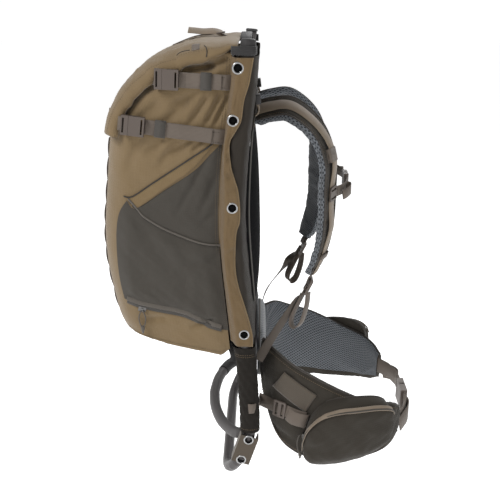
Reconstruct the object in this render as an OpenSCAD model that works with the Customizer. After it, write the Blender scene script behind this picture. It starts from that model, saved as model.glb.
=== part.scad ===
// Hunting backpack: a bag held on a bent-tube freighter frame, with a lid, a load shelf,
// two shoulder straps, a sternum strap and a hip belt with two pockets.
// Millimetres. +X points forwards, out of the wearer's back; +Y is the wearer's left; +Z is up.
// The origin is the centre of the lumbar pad's face, where it meets the wearer.

/* [Frame] */
// Outside diameter of the frame tubes
tube_d = 22; // [18:1:24]
// Wall thickness of the frame tubes
tube_wall = 1.6; // [1:0.1:3]
// Distance between the two side tubes, centre to centre
frame_w = 350; // [340:2:360]
// How far the load shelf stands out behind its pivots
shelf_reach = 76; // [60:1:90]

/* [Bag] */
// Thickness of the sewn bag panels
panel_t = 2.5; // [1.5:0.5:3]
// Width of the bag across its two side panels
bag_w = 330; // [320:2:330]
// Thickness of the lid
lid_t = 3; // [2:0.5:3]
// Width of the webbing on the bag
webbing_w = 25; // [20:1:28]
// Thickness of all webbing
webbing_t = 1.6; // [1:0.1:2]

/* [Harness] */
// Width of a shoulder strap's pad
strap_w = 68; // [55:1:75]
// Thickness of a shoulder strap's pad
strap_t = 15; // [10:1:18]
// Thickness of a hip belt wing
wing_t = 14; // [10:1:16]
// Depth of a hip belt pocket, outwards from the wing
pocket_depth = 34; // [25:1:40]
// Width of the hip belt's webbing
belt_w = 38; // [30:1:40]

/* [Grommets] */
// Radius of a grommet's hole
grommet_r = 5.5; // [4:0.1:6]
// Radius of a grommet's rim
grommet_rim_r = 10.5; // [9:0.5:11]
// Length of a grommet's bore, through both rims
grommet_l = 3.1; // [2.5:0.1:3.2]

/* [Hidden] */
$fn = 32;

gap = 0.3;                              // space left between pieces that touch
slant_gap = 1.4;                        // space left between tube ends that meet at a slant
tube_r = tube_d / 2;
half_w = frame_w / 2;
bag_half = bag_w / 2;
pale = "tan";                           // the bag's main cloth
dark = "dimgray";                       // stretch pockets, harness and belt cloth

// ---- Curves ----

function unit(v) = v / norm(v);
function last(a) = a[len(a) - 1];
function part_way(a, b, t) = a + (b - a) * t;

// Points of a Catmull-Rom curve through p, with n steps to each stretch.
function curve_at(a, b, c, d, t) = 0.5 * ((2 * b) + (c - a) * t
    + (2 * a - 5 * b + 4 * c - d) * t * t + (3 * b - a - 3 * c + d) * t * t * t);
function smooth(p, n) = concat([for (i = [0 : len(p) - 2]) for (k = [0 : n - 1])
    curve_at(p[max(i - 1, 0)], p[i], p[i + 1], p[min(i + 2, len(p) - 1)], k / n)], [last(p)]);
function tangent(p, i) = unit(p[min(i + 1, len(p) - 1)] - p[max(i - 1, 0)]);

// Closed outlines in a sweep's own plane: u lies along its side vector, v along its normal.
function box_outline(w, t, v = 0) = [[-w / 2, v], [w / 2, v], [w / 2, v + t], [-w / 2, v + t]];
function oval(a, b, n, power = 1) = [for (k = [0 : n - 1]) let (t = 360 * k / n)
    [a * sign(cos(t)) * pow(abs(cos(t)), power), b * sign(sin(t)) * pow(abs(sin(t)), power)]];

function ring(p, i, side, outline) = let (t = tangent(p, i), n = unit(cross(t, side)),
    s = cross(n, t)) [for (q = outline) p[i] + q[0] * s + q[1] * n];

// A closed solid swept along p. sides and outlines hold one entry for each point of p.
module sweep(p, sides, outlines) {
    m = len(outlines[0]);
    last_ring = len(p) - 1;
    polyhedron(
        points = [for (i = [0 : last_ring]) each ring(p, i, sides[i], outlines[i])],
        faces = concat([[for (j = [0 : m - 1]) j]],
            [[for (j = [m - 1 : -1 : 0]) last_ring * m + j]],
            [for (i = [0 : last_ring - 1]) for (j = [0 : m - 1]) let (k = (j + 1) % m)
                [i * m + j, (i + 1) * m + j, (i + 1) * m + k, i * m + k]]));
}

// The same with a bore: inner is an outline with as many points as outer.
module hollow_sweep(p, side, outer, inner) {
    m = len(outer);
    e = len(p) - 1;
    first_inner = len(p) * m;
    polyhedron(
        points = concat([for (i = [0 : e]) each ring(p, i, side, outer)],
            [for (i = [0 : e]) each ring(p, i, side, inner)]),
        faces = concat(
            [for (i = [0 : e - 1]) for (j = [0 : m - 1]) let (k = (j + 1) % m)
                [i * m + j, (i + 1) * m + j, (i + 1) * m + k, i * m + k]],
            [for (i = [0 : e - 1]) for (j = [0 : m - 1])
                let (k = (j + 1) % m, f = first_inner)
                [f + i * m + k, f + (i + 1) * m + k, f + (i + 1) * m + j, f + i * m + j]],
            [for (j = [0 : m - 1]) let (k = (j + 1) % m)
                [j, k, first_inner + k, first_inner + j]],
            [for (j = [0 : m - 1]) let (k = (j + 1) % m, f = first_inner)
                [e * m + j, f + e * m + j, f + e * m + k, e * m + k]]));
}

module ribbon(p, side, w = webbing_w, t = webbing_t) {
    sweep(p, [for (q = p) side], [for (q = p) box_outline(w, t, -t / 2)]);
}

// Extrudes a shape drawn in X and Z from y0 to y1.
module slab(y0, y1) {
    translate([0, y1, 0]) rotate([90, 0, 0]) linear_extrude(y1 - y0) children();
}

module left() { mirror([0, 1, 0]) children(); }
module both() { children(); left() children(); }

// ---- Frame ----

// Side tube seen from the side, as [x, z] from its top end to the start of the bottom bend.
side_line = [[-34, 612], [-42, 520], [-54, 420], [-60, 320], [-58, 240], [-46, 110],
    [-36, 0], [-32, -125], [-50, -180]];
side_curve = smooth(side_line, 4);
side_table = [for (q = side_curve) [q[1], q[0]]];
function frame_x(z) = lookup(z, side_table);
function frame_path(y, z_top, z_low, steps) = [for (k = [0 : steps])
    let (z = z_top + (z_low - z_top) * k / steps) [frame_x(z), y, z]];
tube_sides = 16;
side_y = [0, 1, 0];

// The bottom tube goes on in the direction of the side tubes' last stretch.
foot = last(side_line);
foot_lean = [-0.49, -0.872];
bend_r = 55;
bottom_drop = [for (t = [0 : 15 : 90]) [sin(t) * bend_r, (1 - cos(t)) * bend_r]];
bottom_right = [for (q = bottom_drop)
    [foot[0] + foot_lean[0] * q[0], -half_w + q[1], foot[1] + foot_lean[1] * q[0]]];
function flip(p) = [for (i = [len(p) - 1 : -1 : 0]) [p[i][0], -p[i][1], p[i][2]]];
bottom_path = concat(bottom_right, flip(bottom_right));

module tube(p, side) {
    hollow_sweep(p, side, oval(tube_r, tube_r, tube_sides),
        oval(tube_r - tube_wall, tube_r - tube_wall, tube_sides));
}

module side_tubes() {
    color("dimgray") both() tube([for (q = side_curve) [q[0], -half_w, q[1]]], side_y);
}

module bottom_tube() {
    color("dimgray") translate([foot_lean[0], 0, foot_lean[1]] * slant_gap)
        tube(bottom_path, [foot_lean[1], 0, -foot_lean[0]]);
}

cross_z = [95, 300, 520];
module cross_tubes() {
    reach = half_w - tube_r - gap;
    color("dimgray") for (z = cross_z) translate([frame_x(z), -reach, z]) rotate([-90, 0, 0])
        difference() {
            cylinder(h = 2 * reach, r = tube_r - 2);
            translate([0, 0, -1]) cylinder(h = 2 * reach + 2, r = tube_r - 2 - tube_wall);
        }
}

module tube_end_caps() {
    color("black") both() translate([side_line[0][0] + gap, -half_w, side_line[0][1] + slant_gap]) {
        cylinder(h = 3, r = tube_r + 0.5);
        translate([0, 0, 3]) cylinder(h = 1.5, r1 = tube_r + 0.5, r2 = tube_r - 1.5);
    }
}

// ---- Load shelf ----

pivot = [-36, -140];                    // [x, z] of the shelf's pivot line
eye_y = [half_w - 24.5, half_w - 13.5]; // the eye's two faces, measured from the middle
pin_r = 4;
shelf_half = [[pivot[0] - 8, -eye_y[1] + 9.5], [pivot[0] - 26, -eye_y[1] + 11],
    [pivot[0] - shelf_reach * 0.68, -eye_y[1] + 45], [pivot[0] - shelf_reach * 0.92, -60],
    [pivot[0] - shelf_reach, 0]];
shelf_curve = smooth(shelf_half, 4);
shelf_right = [for (q = shelf_curve) [q[0], q[1], pivot[1]]];
shelf_path = concat([for (i = [0 : len(shelf_right) - 2]) shelf_right[i]], flip(shelf_right));

module shelf_bolts() {
    color("silver") both() translate([pivot[0], -half_w + tube_r + gap, pivot[1]])
        rotate([-90, 0, 0]) {
            cylinder(h = 15.5, r = pin_r);
            translate([0, 0, 15.5 - 2.2]) cylinder(h = 2.2, r = 7);
        }
}

module load_shelf() {
    eye_l = eye_y[1] - eye_y[0];
    color("gray") difference() {
        union() {
            sweep(shelf_path, [for (q = shelf_path) [0, 0, 1]],
                [for (q = shelf_path) oval(tube_r, tube_r, tube_sides)]);
            both() translate([pivot[0], -eye_y[1], pivot[1]]) rotate([-90, 0, 0])
                cylinder(h = eye_l, r = tube_r + 1);
        }
        both() translate([pivot[0], -eye_y[1] - 6, pivot[1]]) rotate([-90, 0, 0])
            cylinder(h = eye_l + 12, r = pin_r + 0.1);
        both() translate([pivot[0], -eye_y[0], pivot[1]]) rotate([-90, 0, 0])
            cylinder(h = 12, r = tube_r + 2);
    }
}

// ---- Cloth round the frame ----

wrap_top = 590;
wrap_low = 70;
wrap_half = 20;                         // half of the wrap's depth, front to back
wrap_y = half_w + tube_r + 1.5;         // the wrap's outer edge

module frame_wrap() {
    t = 1.2;
    quarter = [[1, 0], [1, 0.42], [0.99, 0.72], [0.96, 0.92], [0.9, 1]];
    back = [for (i = [len(quarter) - 1 : -1 : 0]) [-quarter[i][0], quarter[i][1]]];
    upper = concat(quarter, back);
    lower = [for (i = [1 : len(upper) - 2]) [-upper[i][0], -upper[i][1]]];
    outline = concat(upper, lower);
    color(dark) hollow_sweep(frame_path(0, wrap_top, wrap_low, 16), side_y,
        [for (q = outline) [q[0] * wrap_y, q[1] * wrap_half]],
        [for (q = outline) [q[0] * (wrap_y - t), q[1] * (wrap_half - t)]]);
}

sleeve_low = -118;
module tube_sleeves() {
    t = 1.2;
    color(dark) both() hollow_sweep(frame_path(-half_w, wrap_low - 6, sleeve_low, 8), side_y,
        oval(tube_r + 1.5, 19, tube_sides, 0.8), oval(tube_r + 1.5 - t, 19 - t, tube_sides, 0.8));
}

// The tab's own frame: x across the tube, z up along it, and y outwards.
tab_centre = [-41, -155];
tab_lean = 18;
tab_l = 62;
grommet_step = 24;
module on_tab() {
    translate([tab_centre[0], 0, tab_centre[1]]) rotate([0, tab_lean, 0]) children();
}

module lash_tabs() {
    w = 36;
    color("tan") both() on_tab() difference() {
        translate([-w / 2, -wrap_y - tab_t, -tab_l / 2]) cube([w, tab_t + 20, tab_l]);
        translate([-w / 2 + tab_t, -wrap_y, -tab_l / 2 - 1])
            cube([w - 2 * tab_t, 40, tab_l + 2]);
        for (s = [-1, 1]) translate([0, -wrap_y + 1, s * grommet_step]) rotate([90, 0, 0])
            cylinder(h = tab_t + 2, r = grommet_r + 1.8);
    }
}

// An eyelet with its bore along Y, from y = 0 to y = -l: a barrel between two rims.
module grommet(l) {
    rim = 0.65;
    rotate([90, 0, 0]) difference() {
        union() {
            cylinder(h = l, r = grommet_r + 1.5);
            cylinder(h = rim, r = grommet_rim_r);
            translate([0, 0, l - rim]) cylinder(h = rim, r = grommet_rim_r);
        }
        translate([0, 0, -1]) cylinder(h = l + 2, r = grommet_r);
    }
}

// The bag's flange lies over the wrap's outer edge, and the bag's grommets go through it.
flange_y = wrap_y + 1.4;
flange_t = 1.5;
tab_t = 2;
tab_grommet_l = grommet_l + tab_t - flange_t;
bag_grommet_z = [572, 488, 338, 96];
bag_grommet_shift = [-13, -13, -2, 3];  // from the frame's line, along X
bag_grommet_at = [for (i = [0 : 3]) let (z = bag_grommet_z[i])
    [frame_x(z) + bag_grommet_shift[i], z]];

module grommets() {
    color("silver") both() {
        for (q = bag_grommet_at)
            translate([q[0], -flange_y - flange_t / 2 + grommet_l / 2, q[1]]) grommet(grommet_l);
        on_tab() for (s = [-1, 1])
            translate([0, -wrap_y - tab_t / 2 + tab_grommet_l / 2, s * grommet_step])
                grommet(tab_grommet_l);
    }
}

module tube_ties() {
    color("black") both() difference() {
        translate([-62, -half_w - 15.5, 592]) cube([42, 31, 14]);
        translate([-58, -half_w - 13, 590]) cube([35.5, 26, 18]);
    }
}

module haul_loop() {
    loop = smooth([[-37, -70, 592.5], [-37, -55, 612], [-37, 0, 618], [-37, 55, 612],
        [-37, 70, 592.5]], 4);
    color(dark) ribbon(loop, [1, 0, 0], 22, 2);
}

// ---- Back of the pack ----

// A pad that follows the frame's front from z_top to z_low, bulging by bulge at its middle.
module front_pad(z_top, z_low, t, bulge, half_y) {
    n = 10;
    z_at = [for (k = [0 : n]) z_top + (z_low - z_top) * k / n];
    face = [for (k = [0 : n]) [frame_x(z_at[k]) + wrap_half + 0.8 + t + bulge * sin(180 * k / n),
        z_at[k]]];
    back = [for (k = [n : -1 : 0]) [frame_x(z_at[k]) + wrap_half + 0.8, z_at[k]]];
    slab(-half_y, half_y) polygon(concat(face, back));
}
module back_panel() { color("black") front_pad(452, 112, 4, 17, 95); }
module harness_yoke() { color(dark) front_pad(508, 456, 5, 0, 104); }

function rounded(w, h, r) = [for (c = [[1, 1, 0], [-1, 1, 90], [-1, -1, 180], [1, -1, 270]])
    for (t = [0 : 30 : 90]) [c[0] * (w / 2 - r) + r * cos(c[2] + t),
        c[1] * (h / 2 - r) + r * sin(c[2] + t)]];

module facing_x(x0, x1) {
    translate([x0, 0, 0]) rotate([90, 0, 90]) linear_extrude(x1 - x0) children();
}

module lumbar_pad() {
    color("lightgray") facing_x(-18, 0) polygon(rounded(176, 112, 24));
}

module lumbar_plate() {
    color("black") facing_x(-21.5, -18.5) polygon(rounded(2 * (half_w - 14), 70, 12));
}

// ---- Bag ----

bag_back = wrap_half + 5;               // from the frame's line to the bag's frame panel
function seam_x(z) = frame_x(z) - bag_back;
bag_front_z = [592, 520, 470, 420, 370, 320, 280, 240, 195, 150, 110, 66];
bag_front = [for (z = bag_front_z) [seam_x(z), z]];
bag_low = [[-70, 60], [-86, 38], [-184, 62], [-262, 86], [-275, 94]];
bag_rear = [[-277, 98], [-290, 150], [-300, 215], [-301, 281], [-292, 356], [-281, 446],
    [-272, 480]];
bag_top = [[-261, 498], [-238, 528], [-198, 563], [-136, 589]];

module bag_sides() {
    color(pale) both() slab(-bag_half, -bag_half + panel_t)
        polygon(concat(bag_front, bag_low, bag_rear, bag_top));
}

inside_half = bag_half - panel_t - 0.2;
module strip(p, shift) {
    slab(-inside_half, inside_half)
        polygon(concat(p, [for (i = [len(p) - 1 : -1 : 0]) p[i] + shift]));
}

module bag_frame_panel() { color(pale) strip(bag_front, [-panel_t, 0]); }
module bag_rear_panel() { color(pale) strip(bag_rear, [panel_t, 0]); }
module bag_bottom() { color(pale) strip(bag_low, [-0.2, panel_t]); }

// An L-shaped strip of cloth: out from the side panel's edge, and then forwards past the frame.
module bag_flanges() {
    top = 588;
    low = 72;
    n = 12;
    z_at = [for (k = [0 : n]) top + (low - top) * k / n];
    function edge(z) = (frame_x(z) - 12) / 2;
    y_in = bag_half + 0.2;
    y_out = flange_y + flange_t;
    points = [for (z = z_at) let (x = seam_x(z)) each [[x, -y_in, z], [x - flange_t, -y_in, z],
        [x - flange_t, -y_out, z], [edge(z), -y_out, z], [edge(z), -flange_y, z],
        [x, -flange_y, z]]];
    m = 6;
    color(pale) both() difference() {
        polyhedron(points, concat([[for (j = [0 : m - 1]) j]],
            [[for (j = [m - 1 : -1 : 0]) n * m + j]],
            [for (i = [0 : n - 1]) for (j = [0 : m - 1]) let (k = (j + 1) % m)
                [i * m + j, (i + 1) * m + j, (i + 1) * m + k, i * m + k]]));
        for (q = bag_grommet_at) translate([q[0], -flange_y + 4, q[1]]) rotate([90, 0, 0])
            cylinder(h = 9, r = grommet_r + 1.8);
    }
}

pocket_out = bag_half + gap;
pocket_t = 3;
pocket_front_z = [445, 345, 292, 240, 195, 150, 108];
pocket_rear = [[-240, 150], [-256, 159], [-264, 190], [-267, 240], [-262, 300], [-244, 350]];
module side_pockets() {
    front = [for (z = pocket_front_z) [seam_x(z) - 4, z]];
    color(dark) both() slab(-pocket_out - pocket_t, -pocket_out)
        polygon(concat(front, pocket_rear));
}

// The zipper's straight stretch, in its own frame: x runs from its rear end to the frame.
zip_start = [-240, 140];
zip_end = [-76, 97];
zip_run = zip_end - zip_start;
zip_l = norm(zip_run);
zip_y = pocket_out + 1.4;               // the track's outer face
slider_start = 10;
module along_zip(x) {
    translate([zip_start[0], 0, zip_start[1]]) rotate([0, -atan2(zip_run[1], zip_run[0]), 0])
        translate([x, 0, 0]) children();
}
module side_zippers() {
    color("black") both() along_zip(0) translate([0, -zip_y, -4]) cube([zip_l, 1.4, 8]);
}

module side_zip_slider_right() {
    color("gray") along_zip(slider_start) {
        translate([-7, -zip_y - 4, -4.5]) cube([14, 3.8, 9]);
        translate([0, -zip_y - 4, 0]) rotate([90, 0, 0]) cylinder(h = 1.4, r = 2.5);
    }
}
module side_zip_slider_left() { left() side_zip_slider_right(); }

// A closed loop of cord that hangs from the slider.
slider_at = part_way(zip_start, zip_end, slider_start / zip_l);
module side_zip_pull_right() {
    hang = smooth([[-1, 0, -2], [-6, 0, -14], [-10, 0, -30], [-9, 0, -40], [0, 0, -46],
        [9, 0, -40], [10, 0, -30], [6, 0, -14], [2, 0, -2]], 2);
    color("gray") translate([slider_at[0], -zip_y - 7, slider_at[1]])
        sweep(hang, [for (q = hang) side_y], [for (q = hang) oval(1.3, 1.3, 8)]);
}
module side_zip_pull_left() { left() side_zip_pull_right(); }

// ---- Straps of the bag ----

strap_y = bag_half + 5.2;
lid_strap_from = [seam_x(547) - 4, 547];
lid_strap_to = [-148, 551.5];
side_strap_from = [seam_x(457) - 4, 457];
side_strap_to = [-208, 474];

module band(a, b, y, w, t) {
    d = b - a;
    translate([a[0], -y - t, a[1]]) rotate([0, -atan2(d[1], d[0]), 0])
        translate([0, 0, -w / 2]) cube([norm(d), t, w]);
}

module side_straps() {
    color("tan") both() {
        band(lid_strap_from, lid_strap_to, strap_y, webbing_w, webbing_t);
        band(side_strap_from, side_strap_to, strap_y, webbing_w, webbing_t);
    }
}

// Elastic keepers that hold a strap's spare end.
module keeper(a, b, from, to) {
    p = part_way(a, b, from);
    q = part_way(a, b, to);
    difference() {
        band(p, q, strap_y - 1.2, webbing_w + 3.4, webbing_t + 2.4);
        band(part_way(a, b, from - 0.1), part_way(a, b, to + 0.1), strap_y - 0.3,
            webbing_w + 1, webbing_t + 0.6);
    }
}
module strap_keepers() {
    color("dimgray") both() {
        keeper(lid_strap_from, lid_strap_to, 0.3, 0.44);
        keeper(side_strap_from, side_strap_to, 0.42, 0.54);
    }
}

// ---- Side-release buckles ----
// Drawn with the webbing along X, its width along Z and its thickness along Y, centred on the
// middle plane. The socket's mouth is at x = 0 and opens towards +X, and the plug enters there.
// w is the webbing's width, t the buckle's thickness and reach the length of the plug's prongs.

wall = 1.6;
rim_w = 8;                              // how much wider the buckle is than its webbing
function buckle_t(w) = 0.14 * w + 6;
function socket_l(w) = 0.7 * w + 9;
function prong_l(w) = 0.5 * w + 5;
function plug_l(w) = 0.3 * w + 5;

module socket(w, t, reach) {
    l = socket_l(w);
    difference() {
        translate([-l, -t / 2, -w / 2 - rim_w / 2]) cube([l, t, w + rim_w]);
        translate([-reach - 2, -t / 2 + wall, -w / 2 - rim_w / 2 + wall])
            cube([reach + 3, t - 2 * wall, w + rim_w - 2 * wall]);
        translate([-l + 3, -t, -w / 2]) cube([3, 2 * t, w]);
        for (s = [-1, 1]) translate([-reach + 2, -t / 2 + wall, s * (w / 2 + 3) - 3])
            cube([reach * 0.45, t - 2 * wall, 6]);
    }
}

module plug(w, t, prong_t, reach) {
    l = plug_l(w);
    inner_w = w + rim_w - 2 * wall - 1.6;
    arm = 0.13 * w;
    difference() {
        translate([0.4, -t / 2, -w / 2 - rim_w / 2]) cube([l, t, w + rim_w]);
        translate([l - 5, -t, -w / 2]) cube([3, 2 * t, w]);
    }
    for (s = [-1, 1]) translate([-reach, -prong_t / 2, s * (inner_w - arm) / 2 - arm / 2])
        cube([reach + 1, prong_t, arm]);
    translate([-reach * 0.8, -prong_t / 2, -arm / 2]) cube([reach * 0.8 + 1, prong_t, arm]);
}

module webbing_socket(w) { socket(w, buckle_t(w), prong_l(w)); }
module webbing_plug(w) { plug(w, buckle_t(w), buckle_t(w) - 2 * wall - 1.4, prong_l(w)); }

// Places a buckle so that its mouth is at point p of the bag's side, in line from a to b.
module at_mouth(a, b, extra) {
    d = unit(b - a);
    p = b + d * extra;
    translate([p[0], -strap_y - buckle_t(webbing_w) / 2 - 0.2, p[1]])
        rotate([0, -atan2(d[1], d[0]), 0]) children();
}
mouth_gap = socket_l(webbing_w) + gap;

module buckle_sockets() {
    color("gray") both() {
        at_mouth(lid_strap_from, lid_strap_to, mouth_gap) webbing_socket(webbing_w);
        at_mouth(side_strap_from, side_strap_to, mouth_gap) webbing_socket(webbing_w);
    }
}
module lid_plug_right() {
    color("gray") at_mouth(lid_strap_from, lid_strap_to, mouth_gap) webbing_plug(webbing_w);
}
module side_plug_right() {
    color("gray") at_mouth(side_strap_from, side_strap_to, mouth_gap) webbing_plug(webbing_w);
}
module lid_plug_left() { left() lid_plug_right(); }
module side_plug_left() { left() side_plug_right(); }

module daisy_chains() {
    line = [[-282.5, 445], [-293.5, 356], [-302.5, 281], [-301.5, 215], [-291.5, 150], [-284, 120]];
    color("tan") for (s = [-1, 1]) translate([0, s * 95, 0]) slab(-webbing_w / 2, webbing_w / 2)
        polygon(concat(line, [for (i = [len(line) - 1 : -1 : 0]) line[i] - [webbing_t, 0]]));
}

// ---- Lid ----

lid_outer = [[-66, 604], [-82, 607], [-139, 603], [-205, 576], [-247, 538], [-270, 505],
    [-281, 483], [-287, 462]];
lid_half = bag_half + 4.4;

module lid() {
    inner = [for (i = [len(lid_outer) - 1 : -1 : 0]) let (k = i / (len(lid_outer) - 1))
        lid_outer[i] + lid_t * [0.95 * k * k, -1 + 0.85 * k * k]];
    skirt_top = [[-105, 602], [-139, 600], [-205, 573], [-245, 537], [-268, 505], [-279, 483]];
    skirt_low = [[-268, 478], [-248, 508], [-228, 533], [-196, 560], [-138, 580], [-105, 582]];
    color(pale) {
        slab(-lid_half, lid_half) polygon(concat(lid_outer, inner));
        both() slab(-lid_half, -lid_half + lid_t) polygon(concat(skirt_top, skirt_low));
    }
}

module lid_strap() {
    tail = smooth([[-84, 0, 610], [-92, 0, 622], [-108, 0, 618], [-128, 0, 621], [-147, 0, 627]], 3);
    color("tan") {
        ribbon(tail, [0, 1, 0], 20, 1.6);
        translate([-92, -12, 607.6]) cube([12, 24, 2.6]);
    }
}

// ---- Shoulder straps ----

pad_line = [[-14, -72, 486], [38, -84, 492], [84, -100, 456], [105, -108, 405], [107, -112, 350],
    [106, -112, 280], [97, -110, 228], [83, -106, 190]];
pad_path = smooth(pad_line, 3);
pad_steps = len(pad_path) - 1;
// The pad's width leans down at the shoulder and turns outwards on the chest.
function pad_side(i) = let (t = min(1, i / (pad_steps * 0.55)))
    unit([-0.42 * t, -0.75 - 0.15 * t, -0.66 * (1 - t)]);
function pad_width(i) = let (t = i / pad_steps) strap_w * (0.8 + 0.2 * sin(180 * min(1, t * 1.1)));

module shoulder_pad_right() {
    color(dark) sweep(pad_path, [for (i = [0 : pad_steps]) pad_side(i)],
        [for (i = [0 : pad_steps]) oval(pad_width(i) / 2, strap_t / 2, 12, 0.6)]);
}
module shoulder_pad_left() { left() shoulder_pad_right(); }

webbing_lift = strap_t / 2 + 0.5;       // from the pad's middle to the webbing's back
module shoulder_webbing_right() {
    color("tan") sweep(pad_path, [for (i = [0 : pad_steps]) pad_side(i)],
        [for (i = [0 : pad_steps]) box_outline(webbing_w, webbing_t, -webbing_lift - webbing_t)]);
}
module shoulder_webbing_left() { left() shoulder_webbing_right(); }

// The adjuster hangs below the strap. It has three slots, the upper one for the strap's webbing.
adjuster_at = [84, -107, 180];
module strap_adjuster_right() {
    color("gray") translate(adjuster_at) rotate([0, 25, 0]) difference() {
        translate([1, -16, -34]) cube([5, 32, 30]);
        for (z = [-13, -22, -30]) translate([-1, -11.5, z]) cube([9, 23, 3.5]);
    }
}
module strap_adjuster_left() { left() strap_adjuster_right(); }

lower_line = [[66, -112, 146], [40, -122, 108], [6, -136, 58], [-16, -146, 20]];
module lower_webbing() {
    color("tan") both() ribbon(smooth(lower_line, 3), [0.25, 0.9, 0], 20, 1.5);
}

// ---- Sternum strap ----

sternum_z = 345;
sternum_w = 20;
sternum_front = 152;                    // X of the buckle
pad_turn = -25;                         // the pad's turn about Z on the chest
plug_travel = 26;

// A slider that clips round the shoulder strap's webbing, and the strap from it to the buckle.
module sternum_strap(end_y) {
    color("tan") ribbon(smooth([[127, -99, sternum_z], [140, -78, sternum_z],
        [sternum_front - 3, -55, sternum_z], [sternum_front, end_y, sternum_z]], 3),
        [0, 0, 1], sternum_w, 1.5);
    color("gray") translate([107, -112, sternum_z]) rotate([0, 0, pad_turn])
        translate([webbing_lift + webbing_t + 1.2, -16, -13]) cube([3.6, 32, 26]);
}
module sternum_strap_right() { sternum_strap(-socket_l(sternum_w) - 0.4); }
module sternum_strap_left() {
    left() sternum_strap(-plug_l(sternum_w) - plug_travel - 2);
}
module at_sternum() { translate([sternum_front, 0, sternum_z]) rotate([0, 0, 90]) children(); }
module sternum_socket() { color("gray") at_sternum() webbing_socket(sternum_w); }
module sternum_plug() { color("gray") at_sternum() webbing_plug(sternum_w); }

// ---- Hip belt ----

wing_line = [[-6, -106, 0], [22, -140, -52], [62, -160, -86], [120, -170, -106],
    [185, -167, -120], [236, -148, -126], [266, -116, -130]];
wing_half = [52, 88, 90, 78, 60, 46, 28];
wing_n = 3;
wing_path = smooth([for (q = wing_line) [q[0], q[1], 0]], wing_n);
wing_mid = smooth([for (q = wing_line) q[2]], wing_n);
wing_tall = smooth(wing_half, wing_n);
wing_steps = len(wing_path) - 1;

function tall_oval(mid, half, t, v = 0) = [for (q = oval(half, t / 2, 12, 0.55))
    [mid + q[0], v + q[1]]];
module belt_wing_right() {
    color(dark) sweep(wing_path, [for (q = wing_path) [0, 0, 1]],
        [for (i = [0 : wing_steps]) tall_oval(wing_mid[i], wing_tall[i], wing_t)]);
}
module belt_wing_left() { left() belt_wing_right(); }

// The pocket lies on the wing's outer face, between two of the wing's points.
pocket_first = 7;
pocket_last = 16;
module belt_pocket_right() {
    n = pocket_last - pocket_first;
    p = [for (i = [pocket_first : pocket_last]) wing_path[i]];
    out = wing_t / 2 + 0.8;
    color(dark) sweep(p, [for (q = p) [0, 0, 1]], [for (k = [0 : n])
        let (fill = sin(180 * (k + 0.7) / (n + 1.4)), i = k + pocket_first,
            half = wing_tall[i] * (0.62 + 0.22 * fill), deep = pocket_depth * (0.35 + 0.65 * fill))
        [[wing_mid[i] - half, out], [wing_mid[i] + half, out],
            [wing_mid[i] + half * 0.96, out + deep * 0.6], [wing_mid[i] + half * 0.8, out + deep],
            [wing_mid[i] - half * 0.8, out + deep], [wing_mid[i] - half * 0.96, out + deep * 0.6]]]);
}
module belt_pocket_left() { left() belt_pocket_right(); }

belt_front = 296;                       // X of the belt's buckle
belt_z = -134;

// The pocket's zipper starts upwards along the pocket's rear end. In the slider's own frame
// there, x points into the pocket, y towards the wearer and z up.
pocket_along = unit(wing_path[pocket_first + 1] - wing_path[pocket_first]);
pocket_out_from_wing = 16;
belt_zip_z = -128;
module at_belt_zip() {
    translate(wing_path[pocket_first] + cross(pocket_along, [0, 0, 1]) * pocket_out_from_wing)
        rotate([0, 0, atan2(pocket_along[1], pocket_along[0])])
            translate([-0.8, 0, belt_zip_z]) children();
}
module belt_zip_slider_right() {
    color("gray") at_belt_zip() translate([-4.5, -4, -7]) cube([4.5, 8, 14]);
}
module belt_zip_slider_left() { left() belt_zip_slider_right(); }
module belt_zip_pull_right() {
    hang = smooth([[0, 0, 0], [-4, 0, -12], [-3, 0, -28], [1, 0, -40], [0, 0, -62]], 3);
    color("tan") at_belt_zip() translate([-7, 0, 2])
        sweep(hang, [for (q = hang) side_y], [for (q = hang) oval(1.5, 1.5, 8)]);
}
module belt_zip_pull_left() { left() belt_zip_pull_right(); }

// The belt's buckle is thick, with short thin prongs, so that the wings can part it.
belt_buckle_t = 13.5;
belt_prong_t = 2.4;
belt_prong_l = 10;
module at_belt() { translate([belt_front, 0, belt_z]) rotate([0, 0, 90]) children(); }
module belt_webbing(end_y) {
    color("tan") ribbon(smooth([[270, -109, belt_z], [282, -92, belt_z], [292, -70, belt_z],
        [belt_front, end_y, belt_z]], 3), [0, 0, 1], belt_w, 2);
}
module belt_webbing_right() { belt_webbing(-socket_l(belt_w) - 0.4); }
module belt_webbing_left() { left() belt_webbing(-plug_l(belt_w) - plug_travel - 2); }
module belt_socket() { color("gray") at_belt() socket(belt_w, belt_buckle_t, belt_prong_l); }
module belt_plug() {
    color("gray") at_belt() plug(belt_w, belt_buckle_t, belt_prong_t, belt_prong_l);
}

side_tubes();
bottom_tube();
cross_tubes();
tube_end_caps();
shelf_bolts();
load_shelf();
frame_wrap();
tube_sleeves();
lash_tabs();
grommets();
tube_ties();
haul_loop();
back_panel();
lumbar_pad();
lumbar_plate();
harness_yoke();
bag_frame_panel();
bag_rear_panel();
bag_sides();
bag_bottom();
bag_flanges();
side_pockets();
side_zippers();
side_straps();
strap_keepers();
buckle_sockets();
daisy_chains();
lid();
lid_strap();
lid_plug_right();
lid_plug_left();
side_plug_right();
side_plug_left();
side_zip_slider_right();
side_zip_slider_left();
side_zip_pull_right();
side_zip_pull_left();
shoulder_pad_right();
shoulder_pad_left();
shoulder_webbing_right();
shoulder_webbing_left();
strap_adjuster_right();
strap_adjuster_left();
lower_webbing();
sternum_strap_right();
sternum_strap_left();
sternum_socket();
sternum_plug();
belt_wing_right();
belt_wing_left();
belt_pocket_right();
belt_pocket_left();
belt_webbing_right();
belt_webbing_left();
belt_socket();
belt_plug();
belt_zip_slider_right();
belt_zip_slider_left();
belt_zip_pull_right();
belt_zip_pull_left();
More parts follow.
